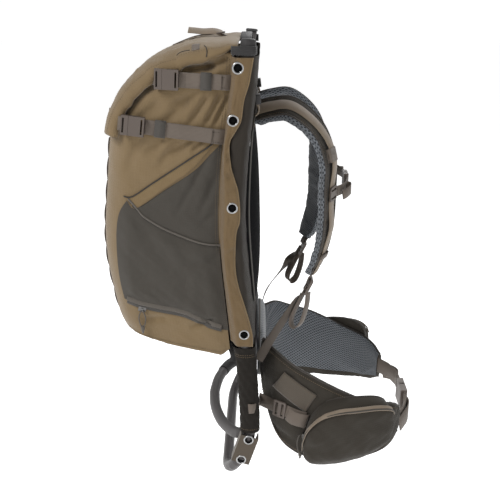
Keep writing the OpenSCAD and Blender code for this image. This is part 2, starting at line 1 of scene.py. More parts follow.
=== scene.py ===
"""The looks of the hunting backpack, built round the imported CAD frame.

Lengths are metres, and mm() turns millimetres into metres. +X points forwards, +Y to the
wearer's left and +Z up, and the origin is the centre of the lumbar pad's face.
"""
import math

import bmesh
import bpy
import numpy as np
from mathutils import Matrix, Vector


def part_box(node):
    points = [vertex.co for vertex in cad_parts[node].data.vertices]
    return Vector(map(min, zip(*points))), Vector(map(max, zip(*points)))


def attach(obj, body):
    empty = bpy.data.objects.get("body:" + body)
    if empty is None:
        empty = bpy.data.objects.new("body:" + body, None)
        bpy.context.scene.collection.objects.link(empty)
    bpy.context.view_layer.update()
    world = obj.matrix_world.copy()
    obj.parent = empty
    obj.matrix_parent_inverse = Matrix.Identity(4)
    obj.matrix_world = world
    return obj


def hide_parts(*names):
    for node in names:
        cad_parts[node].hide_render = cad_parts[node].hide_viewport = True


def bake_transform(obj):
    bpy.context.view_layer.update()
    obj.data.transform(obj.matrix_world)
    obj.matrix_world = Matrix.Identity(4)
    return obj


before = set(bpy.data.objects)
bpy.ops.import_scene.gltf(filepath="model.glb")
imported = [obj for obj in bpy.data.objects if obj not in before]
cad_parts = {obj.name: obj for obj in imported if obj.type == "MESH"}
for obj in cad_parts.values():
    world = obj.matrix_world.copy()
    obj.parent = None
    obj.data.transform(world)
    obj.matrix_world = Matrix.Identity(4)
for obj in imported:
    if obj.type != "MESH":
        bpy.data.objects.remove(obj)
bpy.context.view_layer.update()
scene = bpy.context.scene
PACK = "pack"
SIDES = (("right", -1), ("left", 1))


# ---------------------------------------------------------------- camera, light, floor

def add_camera():
    """The photograph's view: from the wearer's right, 20 degrees down, a touch from the front."""
    camera = bpy.data.objects.new("camera", bpy.data.cameras.new("camera"))
    scene.collection.objects.link(camera)
    camera.data.lens = 50.4
    camera.data.sensor_width = 36
    camera.location = (-0.0107, -1.3433, 0.6820)
    forward = Vector((-0.0164, 0.93955, -0.34202))
    camera.rotation_euler = forward.to_track_quat("-Z", "Y").to_euler()
    scene.camera = camera


def add_lamp(name, place, size, power):
    lamp = bpy.data.objects.new(name, bpy.data.lights.new(name, "AREA"))
    scene.collection.objects.link(lamp)
    lamp.location = place
    lamp.data.size = size
    lamp.data.energy = power
    lamp.rotation_euler = (-Vector(place)).to_track_quat("-Z", "Y").to_euler()


def glowing(name, grey, strength):
    """The studio's own material: matt, and giving off white light."""
    material = plain(name, (grey, grey, grey), 0.9)
    shader = principled(material)
    shader.inputs["Emission Color"].default_value = (1, 1, 1, 1)
    shader.inputs["Emission Strength"].default_value = strength
    return material


def add_studio():
    """A white world, three soft lamps, a pale floor below the pack and a far white wall."""
    world = bpy.data.worlds.new("studio")
    world.use_nodes = True
    background = world.node_tree.nodes["Background"]
    background.inputs["Color"].default_value = (1, 1, 1, 1)
    background.inputs["Strength"].default_value = 0.42
    scene.world = world
    scene.view_settings.view_transform = "Standard"
    add_lamp("key_lamp", (-1.9, -1.5, 2.3), 1.1, 62)
    add_lamp("fill_lamp", (2.2, -2.0, 1.0), 2.0, 14)
    add_lamp("back_lamp", (0.8, 2.2, 2.0), 1.6, 40)
    bpy.ops.mesh.primitive_plane_add(size=400, location=(0, 0, -0.55))
    floor = bpy.context.object
    floor.name = "studio_floor"
    floor.data.materials.append(glowing("floor_white", 0.93, 0.62))
    bpy.ops.mesh.primitive_cylinder_add(vertices=96, radius=20, depth=60, end_fill_type="NOTHING")
    wall = bpy.context.object
    wall.name = "studio_wall"
    wall.data.materials.append(glowing("wall_white", 0.01, 1.0))
    wall.visible_diffuse = False
    wall.visible_glossy = False
    wall.visible_shadow = False


# ---------------------------------------------------------------- materials

def principled(material):
    return material.node_tree.nodes["Principled BSDF"]


def new_material(name, color, roughness, **sockets):
    """A material with a Principled shader. sockets are its input names, with _ for a space."""
    material = bpy.data.materials.new(name)
    material.use_nodes = True
    shader = principled(material)
    shader.inputs["Base Color"].default_value = (*color, 1)
    shader.inputs["Roughness"].default_value = roughness
    for socket, value in sockets.items():
        shader.inputs[socket.replace("_", " ")].default_value = value
    return material


def node(material, kind, settings=(), **inputs):
    """Adds a node. inputs are socket names, with _ for a space, set or linked."""
    made = material.node_tree.nodes.new(kind)
    for key, value in dict(settings).items():
        setattr(made, key, value)
    for socket, value in inputs.items():
        plug_in(material, value, made, socket.replace("_", " "))
    return made


def plug_in(material, value, target, socket):
    """Links value, which is a node's output socket, or sets it as a plain value."""
    place = target.inputs[int(socket)] if socket.isdigit() else target.inputs[socket]
    if isinstance(value, bpy.types.NodeSocket):
        material.node_tree.links.new(value, place)
    else:
        place.default_value = value


def maths(material, operation, a, b=0.0, c=0.5):
    """One operation on a and b. MULTIPLY_ADD alone takes c, and gives a times b plus c."""
    made = material.node_tree.nodes.new("ShaderNodeMath")
    made.operation = operation
    for socket, value in enumerate((a, b, c)):
        plug_in(material, value, made, str(socket))
    return made.outputs[0]


def ripple(material, coordinate, period):
    """A smooth wave from 0 to 1 along one coordinate, in metres."""
    wave = maths(material, "SINE", maths(material, "MULTIPLY", coordinate, 2 * math.pi / period))
    return maths(material, "MULTIPLY_ADD", wave, 0.5, 0.5)


def uv_axes(material):
    """U and V, both in metres."""
    source = node(material, "ShaderNodeTexCoord").outputs["UV"]
    return node(material, "ShaderNodeSeparateXYZ", Vector=source).outputs


def tint(material, color, factor, dark, light):
    """The base colour, mixed between dark and light times color by factor."""
    mix = node(material, "ShaderNodeMix", {"data_type": "RGBA"}, Factor=factor)
    mix.inputs[6].default_value = (*(c * dark for c in color), 1)
    mix.inputs[7].default_value = (*(c * light for c in color), 1)
    return mix.outputs[2]


def bumped(material, height, strength, distance):
    bump = node(material, "ShaderNodeBump", Height=height, Strength=strength, Distance=distance)
    material.node_tree.links.new(bump.outputs[0], principled(material).inputs["Normal"])


def paint(material, color_socket):
    material.node_tree.links.new(color_socket, principled(material).inputs["Base Color"])


def noise(material, scale, detail=3.0):
    source = node(material, "ShaderNodeTexCoord").outputs["Object"]
    return node(material, "ShaderNodeTexNoise", Vector=source, Scale=scale,
                Detail=detail).outputs["Fac"]


def plain(name, color, roughness, **sockets):
    """A moulded or painted surface: colour clouds, worn gloss and a fine grain."""
    material = new_material(name, color, roughness, **sockets)
    clouds = noise(material, 14)
    grain = noise(material, 900, 2)
    paint(material, tint(material, color, clouds, 0.86, 1.12))
    worn = maths(material, "MULTIPLY_ADD", clouds, 0.25, roughness - 0.12)
    material.node_tree.links.new(worn, principled(material).inputs["Roughness"])
    bumped(material, grain, 0.25, 0.0002)
    return material


def cloth(name, color, grid=0.0055, sheen=0.25, spread=0.16, gloss=0.4):
    """Woven cloth with a ripstop grid, cloudy fading and creased highlights. UVs are metres."""
    material = new_material(name, color, 0.82, Sheen_Weight=sheen, Sheen_Roughness=0.5,
                            Specular_IOR_Level=gloss)
    axes = uv_axes(material)
    across = ripple(material, axes[0], 0.0011)
    along = ripple(material, axes[1], 0.0011)
    weave = maths(material, "MULTIPLY", across, along)
    rip = maths(material, "MAXIMUM",
                maths(material, "POWER", ripple(material, axes[0], grid), 14.0),
                maths(material, "POWER", ripple(material, axes[1], grid), 14.0))
    fade = noise(material, 9, 4)
    rub = noise(material, 55, 5)
    shade = maths(material, "ADD", maths(material, "MULTIPLY", fade, 0.55),
                  maths(material, "MULTIPLY", rub, 0.25))
    shade = maths(material, "ADD", shade, maths(material, "MULTIPLY", weave, 0.12))
    shade = maths(material, "ADD", shade, maths(material, "MULTIPLY", rip, 0.08))
    paint(material, tint(material, color, shade, 1 - spread, 1 + spread))
    bumped(material, maths(material, "ADD", weave, rip), 0.35, 0.0005)
    return material


def webbing(name, color, ribs=0.0022):
    """Flat woven webbing: ribs along its length, a fine cross weave and a rubbed face."""
    material = new_material(name, color, 0.72, Sheen_Weight=0.2, Sheen_Roughness=0.4)
    axes = uv_axes(material)
    ribbed = ripple(material, axes[0], ribs)
    crossed = ripple(material, axes[1], 0.0013)
    weave = maths(material, "MULTIPLY", ribbed, maths(material, "MULTIPLY_ADD", crossed, 0.5, 0.5))
    rub = noise(material, 60, 4)
    shade = maths(material, "ADD", maths(material, "MULTIPLY", rub, 0.5),
                  maths(material, "MULTIPLY", weave, 0.6))
    paint(material, tint(material, color, shade, 0.78, 1.2))
    bumped(material, weave, 0.5, 0.0005)
    return material


def air_mesh(name, thread, hole, cell, sheen=0.3):
    """Open 3-D mesh: a lattice of bright threads round dark holes."""
    material = new_material(name, thread, 0.8, Sheen_Weight=sheen, Specular_IOR_Level=sheen)
    axes = uv_axes(material)
    plus = maths(material, "ADD", axes[0], maths(material, "MULTIPLY", axes[1], 0.62))
    minus = maths(material, "SUBTRACT", axes[0], maths(material, "MULTIPLY", axes[1], 0.62))
    lattice = maths(material, "MULTIPLY", ripple(material, plus, cell),
                    ripple(material, minus, cell))
    ramp = node(material, "ShaderNodeValToRGB", Fac=lattice)
    ramp.color_ramp.elements[0].color = (*thread, 1)
    ramp.color_ramp.elements[0].position = 0.10
    ramp.color_ramp.elements[1].color = (*hole, 1)
    ramp.color_ramp.elements[1].position = 0.42
    paint(material, ramp.outputs[0])
    bumped(material, maths(material, "SUBTRACT", 1.0, lattice), 0.8, 0.001)
    return material


def zipper_material(name, color):
    """Coated zipper tape with a coil of teeth along its middle. U runs across, V along."""
    material = new_material(name, color, 0.5)
    axes = uv_axes(material)
    teeth = ripple(material, axes[1], 0.0016)
    paint(material, tint(material, color, teeth, 0.6, 1.5))
    bumped(material, teeth, 0.8, 0.0007)
    return material


def brushed(name, color, roughness):
    """Metal with fine scratches and a cloudy gloss."""
    material = new_material(name, color, roughness, Metallic=1.0)
    scratches = noise(material, 420, 6)
    paint(material, tint(material, color, noise(material, 30), 0.85, 1.08))
    bumped(material, scratches, 0.12, 0.0002)
    return material


TAN = cloth("pack_cloth", (0.168, 0.114, 0.054))
TAN_LOW = cloth("pack_cloth_bottom", (0.095, 0.066, 0.040), sheen=0.12)
# A darker copy of the pack cloth, with less sheen, for the flanges; its darker colour is painted
# shade.
TAN_FLANGE_SHADED = cloth("pack_cloth_flange_shaded", (0.128, 0.082, 0.036), sheen=0.12)
TAN_BAND = cloth("pack_cloth_band", (0.163, 0.109, 0.049), grid=0.0042)
STRETCH = cloth("stretch_cloth", (0.046, 0.040, 0.032), grid=0.0032, sheen=0.1, spread=0.10)
STRETCH_PALE = cloth("stretch_cloth_pale", (0.090, 0.078, 0.065), grid=0.0032, sheen=0.2)
SLEEVE = cloth("sleeve_cloth", (0.0275, 0.0225, 0.0175), grid=0.004, sheen=0.06, gloss=0.2)
SLEEVE_LOW = cloth("sleeve_cloth_low", (0.0150, 0.0125, 0.0100), grid=0.004, sheen=0.03, gloss=0.15)
HARNESS = cloth("harness_cloth", (0.0310, 0.0256, 0.0190), grid=0.0036, sheen=0.10, gloss=0.25)
HARNESS_PALE = cloth("harness_cloth_pale", (0.075, 0.060, 0.044), grid=0.0036, sheen=0.2)
TAB_CLOTH = cloth("lash_tab_cloth", (0.070, 0.053, 0.036), grid=0.0036)
LINING = cloth("lining_cloth", (0.105, 0.084, 0.056), grid=0.006)
WEBBING = webbing("webbing", (0.114, 0.090, 0.071))
WEBBING_PALE = webbing("webbing_pale", (0.205, 0.160, 0.115))
WEBBING_BROWN = webbing("webbing_brown", (0.074, 0.058, 0.045))
WEBBING_BLACK = webbing("webbing_black", (0.012, 0.011, 0.011), ribs=0.003)
RIBBED = webbing("ribbed_cap", (0.021, 0.019, 0.019), ribs=0.0045)
ELASTIC = webbing("elastic", (0.051, 0.045, 0.038), ribs=0.0014)
PIPING_CLOTH = webbing("binding_tape", (0.036, 0.029, 0.023), ribs=0.0012)
BLUE_MESH = air_mesh("blue_air_mesh", (0.146, 0.157, 0.171), (0.025, 0.028, 0.032), 0.0058, 0.2)
PALE_MESH = air_mesh("pale_air_mesh", (0.262, 0.273, 0.284), (0.130, 0.138, 0.146), 0.0050)
BLACK_MESH = air_mesh("black_air_mesh", (0.0095, 0.0097, 0.0105), (0.003, 0.003, 0.0035), 0.0045,
                      0.02)
THREAD = plain("thread", (0.120, 0.085, 0.050), 0.8)
PIPING = plain("piping", (0.022, 0.018, 0.014), 0.7)
PIPE_GREY = plain("grey_piping", (0.115, 0.108, 0.098), 0.7)
PLASTIC = plain("buckle_plastic", (0.090, 0.070, 0.058), 0.48)
PLASTIC_DARK = plain("dark_plastic", (0.030, 0.028, 0.028), 0.5)
TUBE_PAINT = plain("frame_tube", (0.064, 0.058, 0.058), 0.42, Metallic=0.3)
SHELF_PAINT = plain("shelf_tube", (0.093, 0.088, 0.088), 0.6)
RUBBER = plain("end_cap", (0.035, 0.034, 0.035), 0.7)
# Near-black for the eyelets' necks and for the discs behind the flange eyelets: painted shade
# inside the bores.
EYELET_SHADE = plain("eyelet_painted_shade", (0.003, 0.003, 0.003), 0.9, Specular_IOR_Level=0.1)
CHROME = brushed("grommet_metal", (0.384, 0.384, 0.384), 0.28)
STEEL = brushed("bolt_steel", (0.55, 0.55, 0.56), 0.35)
ZIP_METAL = brushed("zip_metal", (0.16, 0.155, 0.15), 0.4)
ZIP_TAPE = zipper_material("zipper_tape", (0.050, 0.044, 0.038))
CORD = webbing("pull_cord", (0.083, 0.072, 0.061), ribs=0.001)


# ---------------------------------------------------------------- curves and meshes

def mm(*points):
    """Millimetres to metres, for one point or an array of points."""
    return np.array(points[0] if len(points) == 1 else points, float) / 1000


def unit(vectors):
    vectors = np.asarray(vectors, float)
    return vectors / np.maximum(np.linalg.norm(vectors, axis=-1, keepdims=True), 1e-12)


def smooth(points, steps):
    """A Catmull-Rom curve through points, with that many steps to each stretch."""
    p = np.asarray(points, float)
    padded = np.vstack([p[:1], p, p[-1:]])
    out = []
    for a, b, c, d in zip(padded, padded[1:], padded[2:], padded[3:]):
        for t in np.arange(steps) / steps:
            out.append(0.5 * (2 * b + (c - a) * t + (2 * a - 5 * b + 4 * c - d) * t * t
                              + (3 * b - a - 3 * c + d) * t ** 3))
    return np.array(out + [p[-1]])


def even(points, count):
    """count points at equal spacing along a polyline."""
    p = np.asarray(points, float)
    at = np.concatenate([[0], np.cumsum(np.linalg.norm(np.diff(p, axis=0), axis=1))])
    where = np.linspace(0, at[-1], count)
    return np.stack([np.interp(where, at, p[:, k]) for k in range(p.shape[1])], axis=1)


def bell(distance, width):
    """1 at no distance, falling smoothly to nothing past twice the width."""
    return np.exp(-(np.asarray(distance) / width) ** 2)


def ease(t):
    """A smooth step from 0 to 1 as t goes from 0 to 1."""
    t = np.clip(t, 0, 1)
    return t * t * (3 - 2 * t)


def mesh_piece(name, verts, faces, material, body, uvs=None):
    """uvs holds one pair for each vertex.
    """
    mesh = bpy.data.meshes.new(name)
    mesh.from_pydata([tuple(v) for v in verts], [], [tuple(f) for f in faces])
    if uvs is not None:
        layer = mesh.uv_layers.new(name="UVMap")
        flat = np.array([uvs[loop.vertex_index] for loop in mesh.loops])
        layer.data.foreach_set("uv", flat.ravel())
    mesh.materials.append(material)
    mesh.polygons.foreach_set("use_smooth", [True] * len(mesh.polygons))
    piece = bpy.data.objects.new(name, mesh)
    scene.collection.objects.link(piece)
    if body:
        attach(piece, body)
    return piece


def grid_faces(rows, cols, closed):
    wrap = cols if closed else cols - 1
    return [(i * cols + j, i * cols + (j + 1) % cols, (i + 1) * cols + (j + 1) % cols,
             (i + 1) * cols + j) for i in range(rows - 1) for j in range(wrap)]


def grid_uvs(points):
    """Metre UVs for a grid: U along each row, V from row to row."""
    across = np.linalg.norm(np.diff(points, axis=1), axis=2)
    down = np.linalg.norm(np.diff(points, axis=0), axis=2)
    u = np.concatenate([np.zeros((len(points), 1)), np.cumsum(across, axis=1)], axis=1)
    v = np.concatenate([[0], np.cumsum(down.mean(axis=1))])
    u = np.broadcast_to(u.mean(axis=0), points.shape[:2])
    return np.stack([u, np.broadcast_to(v[:, None], points.shape[:2])], axis=2).reshape(-1, 2)


def grid_piece(name, points, material, body, closed=False, capped=False, thick=0.0):
    """A surface through a grid of points, of shape (rows, columns, 3)."""
    points = np.asarray(points, float)
    rows, cols = points.shape[:2]
    faces = grid_faces(rows, cols, closed)
    if capped:
        faces.append(tuple(range(cols - 1, -1, -1)))
        faces.append(tuple(range((rows - 1) * cols, rows * cols)))
    piece = mesh_piece(name, points.reshape(-1, 3), faces, material, body, grid_uvs(points))
    if thick:
        thicken(piece, thick, -1)
    return piece


def thicken(piece, thick, offset):
    """Gives a surface a thickness, inside it at offset -1 and half to each side at 0."""
    shell = piece.modifiers.new("thickness", "SOLIDIFY")
    shell.thickness = thick
    shell.offset = offset
    bpy.context.view_layer.update()
    evaluated = piece.evaluated_get(bpy.context.evaluated_depsgraph_get())
    mesh = bpy.data.meshes.new_from_object(evaluated)
    piece.modifiers.clear()
    piece.data = mesh


def rings(path, side, outline):
    """Points of outlines swept along path: u of an outline lies along side, v along its normal."""
    path = np.asarray(path, float)
    side = np.broadcast_to(np.asarray(side, float), path.shape)
    outline = np.asarray(outline, float)
    if outline.ndim == 2:
        outline = np.broadcast_to(outline, (len(path), *outline.shape))
    tangent = unit(np.gradient(path, axis=0))
    normal = unit(np.cross(tangent, side))
    true_side = np.cross(normal, tangent)
    return (path[:, None] + outline[..., :1] * true_side[:, None]
            + outline[..., 1:] * normal[:, None])


def sweep(name, path, side, outline, material, body):
    return grid_piece(name, rings(path, side, outline), material, body, closed=True, capped=True)


def oval(a, b, count, power=1.0):
    """An ellipse's outline. A power below 1 squares it up."""
    t = np.arange(count) * 2 * math.pi / count
    return np.stack([a * np.sign(np.cos(t)) * np.abs(np.cos(t)) ** power,
                     b * np.sign(np.sin(t)) * np.abs(np.sin(t)) ** power], axis=1)


def strap(name, path, side, material, body, width=0.025, thick=0.0016, steps=6):
    """Flat webbing with soft edges along a smooth curve through path.

    side is the way of its width, for the whole strap or a list of ways along it.
    """
    line = smooth(path, steps)
    edge = thick * 0.45
    half = width / 2
    outline = [(-half, 0), (-half + edge, -thick / 2), (0, -thick / 2 * 1.15),
               (half - edge, -thick / 2), (half, 0), (half - edge, thick / 2),
               (0, thick / 2 * 1.15), (-half + edge, thick / 2)]
    if np.ndim(side) == 2:
        side = even(side, len(line))
    return sweep(name, line, side, outline, material, body)


def tube(name, path, radius, material, body, side=(0, 1, 0), count=28):
    return sweep(name, path, side, oval(radius, radius, count), material, body)


def lathe(name, profile, place, axis, material, body, count=40):
    """A turned piece. profile lists (radius, height) along axis from place, closed at both ends."""
    frame_axis = Vector(axis).to_track_quat("Z", "Y").to_matrix()
    turn = np.arange(count) * 2 * math.pi / count
    points = [[Vector(place) + frame_axis @ Vector((r * math.cos(a), r * math.sin(a), h))
               for a in turn] for r, h in profile]
    return grid_piece(name, np.array(points), material, body, closed=True)


def stitches(name, path, normal, body, material=THREAD, pitch=0.0042, length=0.0027):
    """A row of short thread stitches along a path, standing a little proud.

    normal is the way out of the cloth, for the whole row or point by point.
    """
    p = np.asarray(path, float)
    total = np.linalg.norm(np.diff(p, axis=0), axis=1).sum()
    count = max(2, int(total / pitch))
    line = even(p, count * 2 + 1)
    ups = np.broadcast_to(np.asarray(normal, float), (len(p), 3))
    ups = unit(even(ups, count * 2 + 1))
    verts = []
    faces = []
    for k in range(0, count * 2, 2):
        forward = unit(line[k + 1] - line[k])
        up = ups[k]
        across = np.cross(forward, up) * 0.00045
        a = line[k]
        b = line[k] + forward * length
        ridge = (a + b) / 2 + up * 0.0008
        base = len(verts)
        verts += [a - across, a + across, b + across, b - across,
                  ridge - across * 0.4, ridge + across * 0.4]
        faces += [tuple(base + corner for corner in face)
                  for face in ((0, 1, 5, 4), (2, 3, 4, 5), (0, 4, 3), (1, 2, 5))]
    return mesh_piece(name, verts, faces, material, body)


def plate(name, outer, slot, shift, thick, matrix, material, body):
    """A flat moulding placed by matrix: an outline with two slots, with rounded edges.

    slot is the width and height of a slot, and shift how far each lies from the middle.
    """
    bevel = 0.0006
    holes = [rounded(*slot, 0.001, (shift[0] * end, shift[1] * end)) for end in (1, -1)]
    curve = bpy.data.curves.new(name, "CURVE")
    curve.dimensions = "2D"
    curve.fill_mode = "BOTH"
    curve.extrude = thick / 2 - bevel
    curve.bevel_depth = bevel
    curve.bevel_resolution = 2
    curve.offset = -bevel
    for outline in [outer, *holes]:
        spline = curve.splines.new("POLY")
        spline.points.add(len(outline) - 1)
        for point, (x, y) in zip(spline.points, outline):
            point.co = (x, y, 0, 1)
        spline.use_cyclic_u = True
    holder = bpy.data.objects.new(name, curve)
    scene.collection.objects.link(holder)
    bpy.context.view_layer.update()
    mesh = bpy.data.meshes.new_from_object(holder.evaluated_get(
        bpy.context.evaluated_depsgraph_get()))
    bpy.data.objects.remove(holder)
    mesh.transform(matrix)
    mesh.materials.clear()
    mesh.materials.append(material)
    piece = bpy.data.objects.new(name, mesh)
    scene.collection.objects.link(piece)
    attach(piece, body)
    return piece


def rounded(width, height, radius, center=(0, 0)):
    """A rectangle's outline with round corners."""
    steps = 5
    points = []
    for sx, sy, start in ((1, 1, 0), (-1, 1, 90), (-1, -1, 180), (1, -1, 270)):
        for k in range(steps + 1):
            a = math.radians(start + 90 * k / steps)
            points.append((center[0] + sx * (width / 2 - radius) + radius * math.cos(a),
                           center[1] + sy * (height / 2 - radius) + radius * math.sin(a)))
    return points


def placing(origin, along, across):
    """The matrix that puts a plate at origin, with its x along the first way given."""
    x = Vector(along).normalized()
    z = x.cross(Vector(across)).normalized()
    y = z.cross(x)
    matrix = Matrix((x, y, z)).transposed().to_4x4()
    matrix.translation = Vector(origin)
    return matrix


def mirrored(points):
    return np.asarray(points, float) * (1, -1, 1)


def for_side(points, sign):
    """A point or points given for the wearer's right, turned over for the left."""
    return np.asarray(points, float) if sign < 0 else mirrored(points)


# ---------------------------------------------------------------- the frame's own lines

SIDE_LINE = smooth(mm([-34, 612], [-42, 520], [-54, 420], [-60, 320], [-58, 240],
                      [-46, 110], [-36, 0], [-32, -125], [-50, -180]), 8)
TUBE_Y = 0.175
TUBE_R = 0.011
SEAM_Y = 0.1655
FLANGE_Y = 0.1896


def frame_x(z):
    """X of the frame tubes' middle at height z."""
    return np.interp(z, SIDE_LINE[::-1, 1], SIDE_LINE[::-1, 0])


def frame_point(y, z, forward):
    """A point at width y and height z, that far in front of the tubes' middle."""
    return (float(frame_x(z)) + forward, y, z)


def recoat(material, *cad_nodes):
    """Gives CAD nodes that stay in view a better finish."""
    for cad_node in cad_nodes:
        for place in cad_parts[cad_node].material_slots:
            place.material = material


def frame_tubes():
    for side, sign in SIDES:
        line = [(x, sign * TUBE_Y, z) for x, z in SIDE_LINE]
        piece = tube(f"side_tube_{side}", line, TUBE_R, TUBE_PAINT, PACK)
        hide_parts("side_tubes")
    recoat(TUBE_PAINT, "bottom_tube", "cross_tubes")
    recoat(STEEL, "shelf_bolts")
    recoat(SHELF_PAINT, "load_shelf")
    recoat(PLASTIC_DARK, "lumbar_plate")
    far_cap = lathe("tube_cap_left", mm([0.1, 0], [11.8, 0], [12.2, 1], [12.2, 3], [10.5, 4.6],
                    [0.1, 5]), (-0.0335, TUBE_Y, 0.6125), (0.08, 0, 1), RUBBER, PACK)
    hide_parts("tube_end_caps")
    lathe("webbing_cap_right", mm([12.4, -22], [12.9, -20], [12.9, -2], [12.2, 2.5],
          [9.5, 4.4], [0.1, 4.8]), (-0.0335, -TUBE_Y, 0.6125), (0.08, 0, 1), RIBBED, PACK)


def shelf_wrap():
    """The black cloth round the shelf's far arm."""
    line = mm([-74, 137, -140], [-87, 118, -140], [-98, 90, -140])
    tube("shelf_wrap", smooth(line, 8), 0.0123, WEBBING_BLACK, "shelf", side=(0, 0, 1))


# ---------------------------------------------------------------- cloth round the frame

def wrinkle(a, b, phase):
    """A smooth, irregular wave of about one unit, for hand-made looking cloth."""
    bend = 1.4 * np.sin(a * 2.9 + b * 2.1 + phase)
    return (np.sin(a * 7.1 + phase + bend) * np.sin(b * 5.3 + 1.7 * phase - bend)
            + 0.4 * np.sin(a * 15.3 + 1.9 * np.sin(b * 5.9 + phase)) * np.sin(b * 9.9 - bend)
            + 0.2 * np.sin(a * 26.7 + 2.3 * np.sin(b * 8.3)) * np.sin(b * 19.1 + 2.1 * bend))


def frame_wrap():
    """The dark cloth sleeve that covers the frame from the top to the belt."""
    turn = np.arange(72) * 2 * math.pi / 72
    rows = []
    for z in np.linspace(0.590, 0.070, 90):
        x = np.sign(np.cos(turn)) * np.abs(np.cos(turn)) ** 0.5
        y = np.sign(np.sin(turn)) * np.abs(np.sin(turn)) ** 0.22
        crease = 0.0008 * wrinkle(y * 2.5, z * 22 + x, 0.6)
        rows.append(np.stack([float(frame_x(z)) + x * (0.0200 + crease),
                              y * 0.1868, np.full(72, z)], axis=1))
    piece = grid_piece("frame_wrap_cloth", rows, SLEEVE, PACK, closed=True)
    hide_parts("frame_wrap")


def lower_sleeves():
    """Cloth sleeves round the tubes below the wrap, with a stitched band at the top."""
    for side, sign in SIDES:
        turn = np.arange(40) * 2 * math.pi / 40
        rows = []
        for z in np.linspace(0.066, -0.118, 60):
            drift = 0.0009 * wrinkle(turn, z * 40, 1.3 + sign)
            flare = 0.0015 * bell(z - 0.060, 0.012)
            rows.append(np.stack([float(frame_x(z)) + np.cos(turn) * (0.0190 + drift + flare),
                                  sign * TUBE_Y + np.sin(turn) * (0.0126 + drift),
                                  np.full(40, z)], axis=1))
        piece = grid_piece(f"tube_sleeve_{side}", rows, SLEEVE_LOW, PACK, closed=True)
        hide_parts("tube_sleeves")
        for z in (0.052, 0.048, -0.110):
            line = [(float(frame_x(z)) + math.cos(a) * 0.0196,
                     sign * (TUBE_Y + 0.0132 * math.sin(a)), z)
                    for a in np.linspace(0.2, math.pi - 0.2, 14)]
            stitches(f"tube_sleeve_stitch_{side}_{int(z * 1000)}", line, (0, sign, 0), PACK)


def flange_edge(z):
    """X of the flange's wavy free edge at height z."""
    edge = mm([-27, 72], [-27, 87], [-29, 105], [-41, 152], [-52, 189], [-58, 230], [-56, 290],
              [-50, 312], [-49.5, 341], [-53, 372], [-62, 402], [-66, 430], [-65.5, 452],
              [-56, 470], [-46.5, 488], [-42, 519], [-34, 545], [-31, 560], [-26, 588])
    line = smooth(edge, 4)
    return np.interp(z, line[:, 1], line[:, 0])


def seam_x(z):
    """X of the seam where the bag's side meets its flange."""
    return frame_x(z) - 0.025


BAG_GROMMETS = ((572, -13), (488, -13), (338, -2), (96, 3))  # height, and X past the tube, mm
GROMMET_Y = 0.1888
TAB_GROMMET_Y = 0.1885


def eyelet_place(z, forward):
    """X and Z of one of BAG_GROMMETS, in metres."""
    return float(frame_x(z / 1000)) + forward / 1000, z / 1000


def cut_holes(piece, places, radius):
    """Takes away the faces round each (x, z), where an eyelet goes through."""
    mesh = bmesh.new()
    mesh.from_mesh(piece.data)
    doomed = []
    for face in mesh.faces:
        middle = face.calc_center_median()
        if any(math.hypot(middle.x - x, middle.z - z) < radius for x, z in places):
            doomed.append(face)
    bmesh.ops.delete(mesh, geom=doomed, context="FACES")
    mesh.to_mesh(piece.data)
    mesh.free()


def flanges():
    """The bag's tan flanges: out from the side seam, then forwards over the frame tube."""
    eyelets = np.array([z for z, _ in BAG_GROMMETS]) / 1000
    for side, sign in SIDES:
        rows = []
        for z in np.linspace(0.588, 0.072, 150):
            seam = float(seam_x(z))
            edge = float(flange_edge(z))
            u = np.linspace(0, 1, 16)
            x = seam + 0.0004 + (edge - seam) * u ** 1.15
            tight = bell(z - eyelets, 0.022).sum()
            slack = (1 - min(1, tight)) * (0.0012 * math.sin(z * 95) - 0.0016)
            slanted = z - 0.016 * u
            fold = sum(bell(slanted - place, 0.0065) for place in (0.420, 0.392, 0.366, 0.256))
            y = (SEAM_Y + (FLANGE_Y - SEAM_Y) * ease(u / 0.42) + slack * ease(u)
                 + 0.0007 * wrinkle(u * 1.6, z * 30, 2.0))
            y = np.minimum(y, FLANGE_Y) + 0.0040 * fold * ease(u / 0.4)
            rows.append(np.stack([x, sign * y, np.full(16, z)], axis=1))
        # The flange cloth's darker colour is painted shade.
        piece = grid_piece(f"flange_{side}", rows, TAN_FLANGE_SHADED, PACK)
        cut_holes(piece, [eyelet_place(z, forward) for z, forward in BAG_GROMMETS], 0.0085)
        thicken(piece, 0.0011, 0)
        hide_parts("bag_flanges")
        rows = np.array(rows)
        hem = rows[:, -2] + (0, sign * 0.0007, 0)
        stitches(f"flange_stitch_{side}", hem, (0, sign, 0), PACK)
        tube(f"flange_binding_{side}", rows[:, -1], 0.0011, TAN_BAND, PACK, count=8)


def grommets():
    """Turned rings round each eyelet, four in a flange and two in a lash tab."""
    lean = math.radians(18)
    for side, sign in SIDES:
        for z, forward in BAG_GROMMETS:
            x, height = eyelet_place(z, forward)
            eyelet(f"grommet_{side}_{z}", (x, sign * GROMMET_Y, height), sign, 0.0031)
            # A near-black disc on the wrap behind each flange eyelet: painted shade seen through
            # the bore.
            lathe(f"grommet_{side}_{z}_liner", mm([0.1, -0.3], [9.0, -0.3], [9.0, 0.2],
                  [0.1, 0.2]), (x, sign * 0.1872, height), (0, sign, 0), EYELET_SHADE, PACK)
        for end, word in ((-1, "lower"), (1, "upper")):
            place = (-0.041 + end * 0.024 * math.sin(lean), sign * TAB_GROMMET_Y,
                     -0.155 + end * 0.024 * math.cos(lean))
            ring = eyelet(f"grommet_tab_{side}_{word}", place, sign, 0.0036)
    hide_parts("grommets")


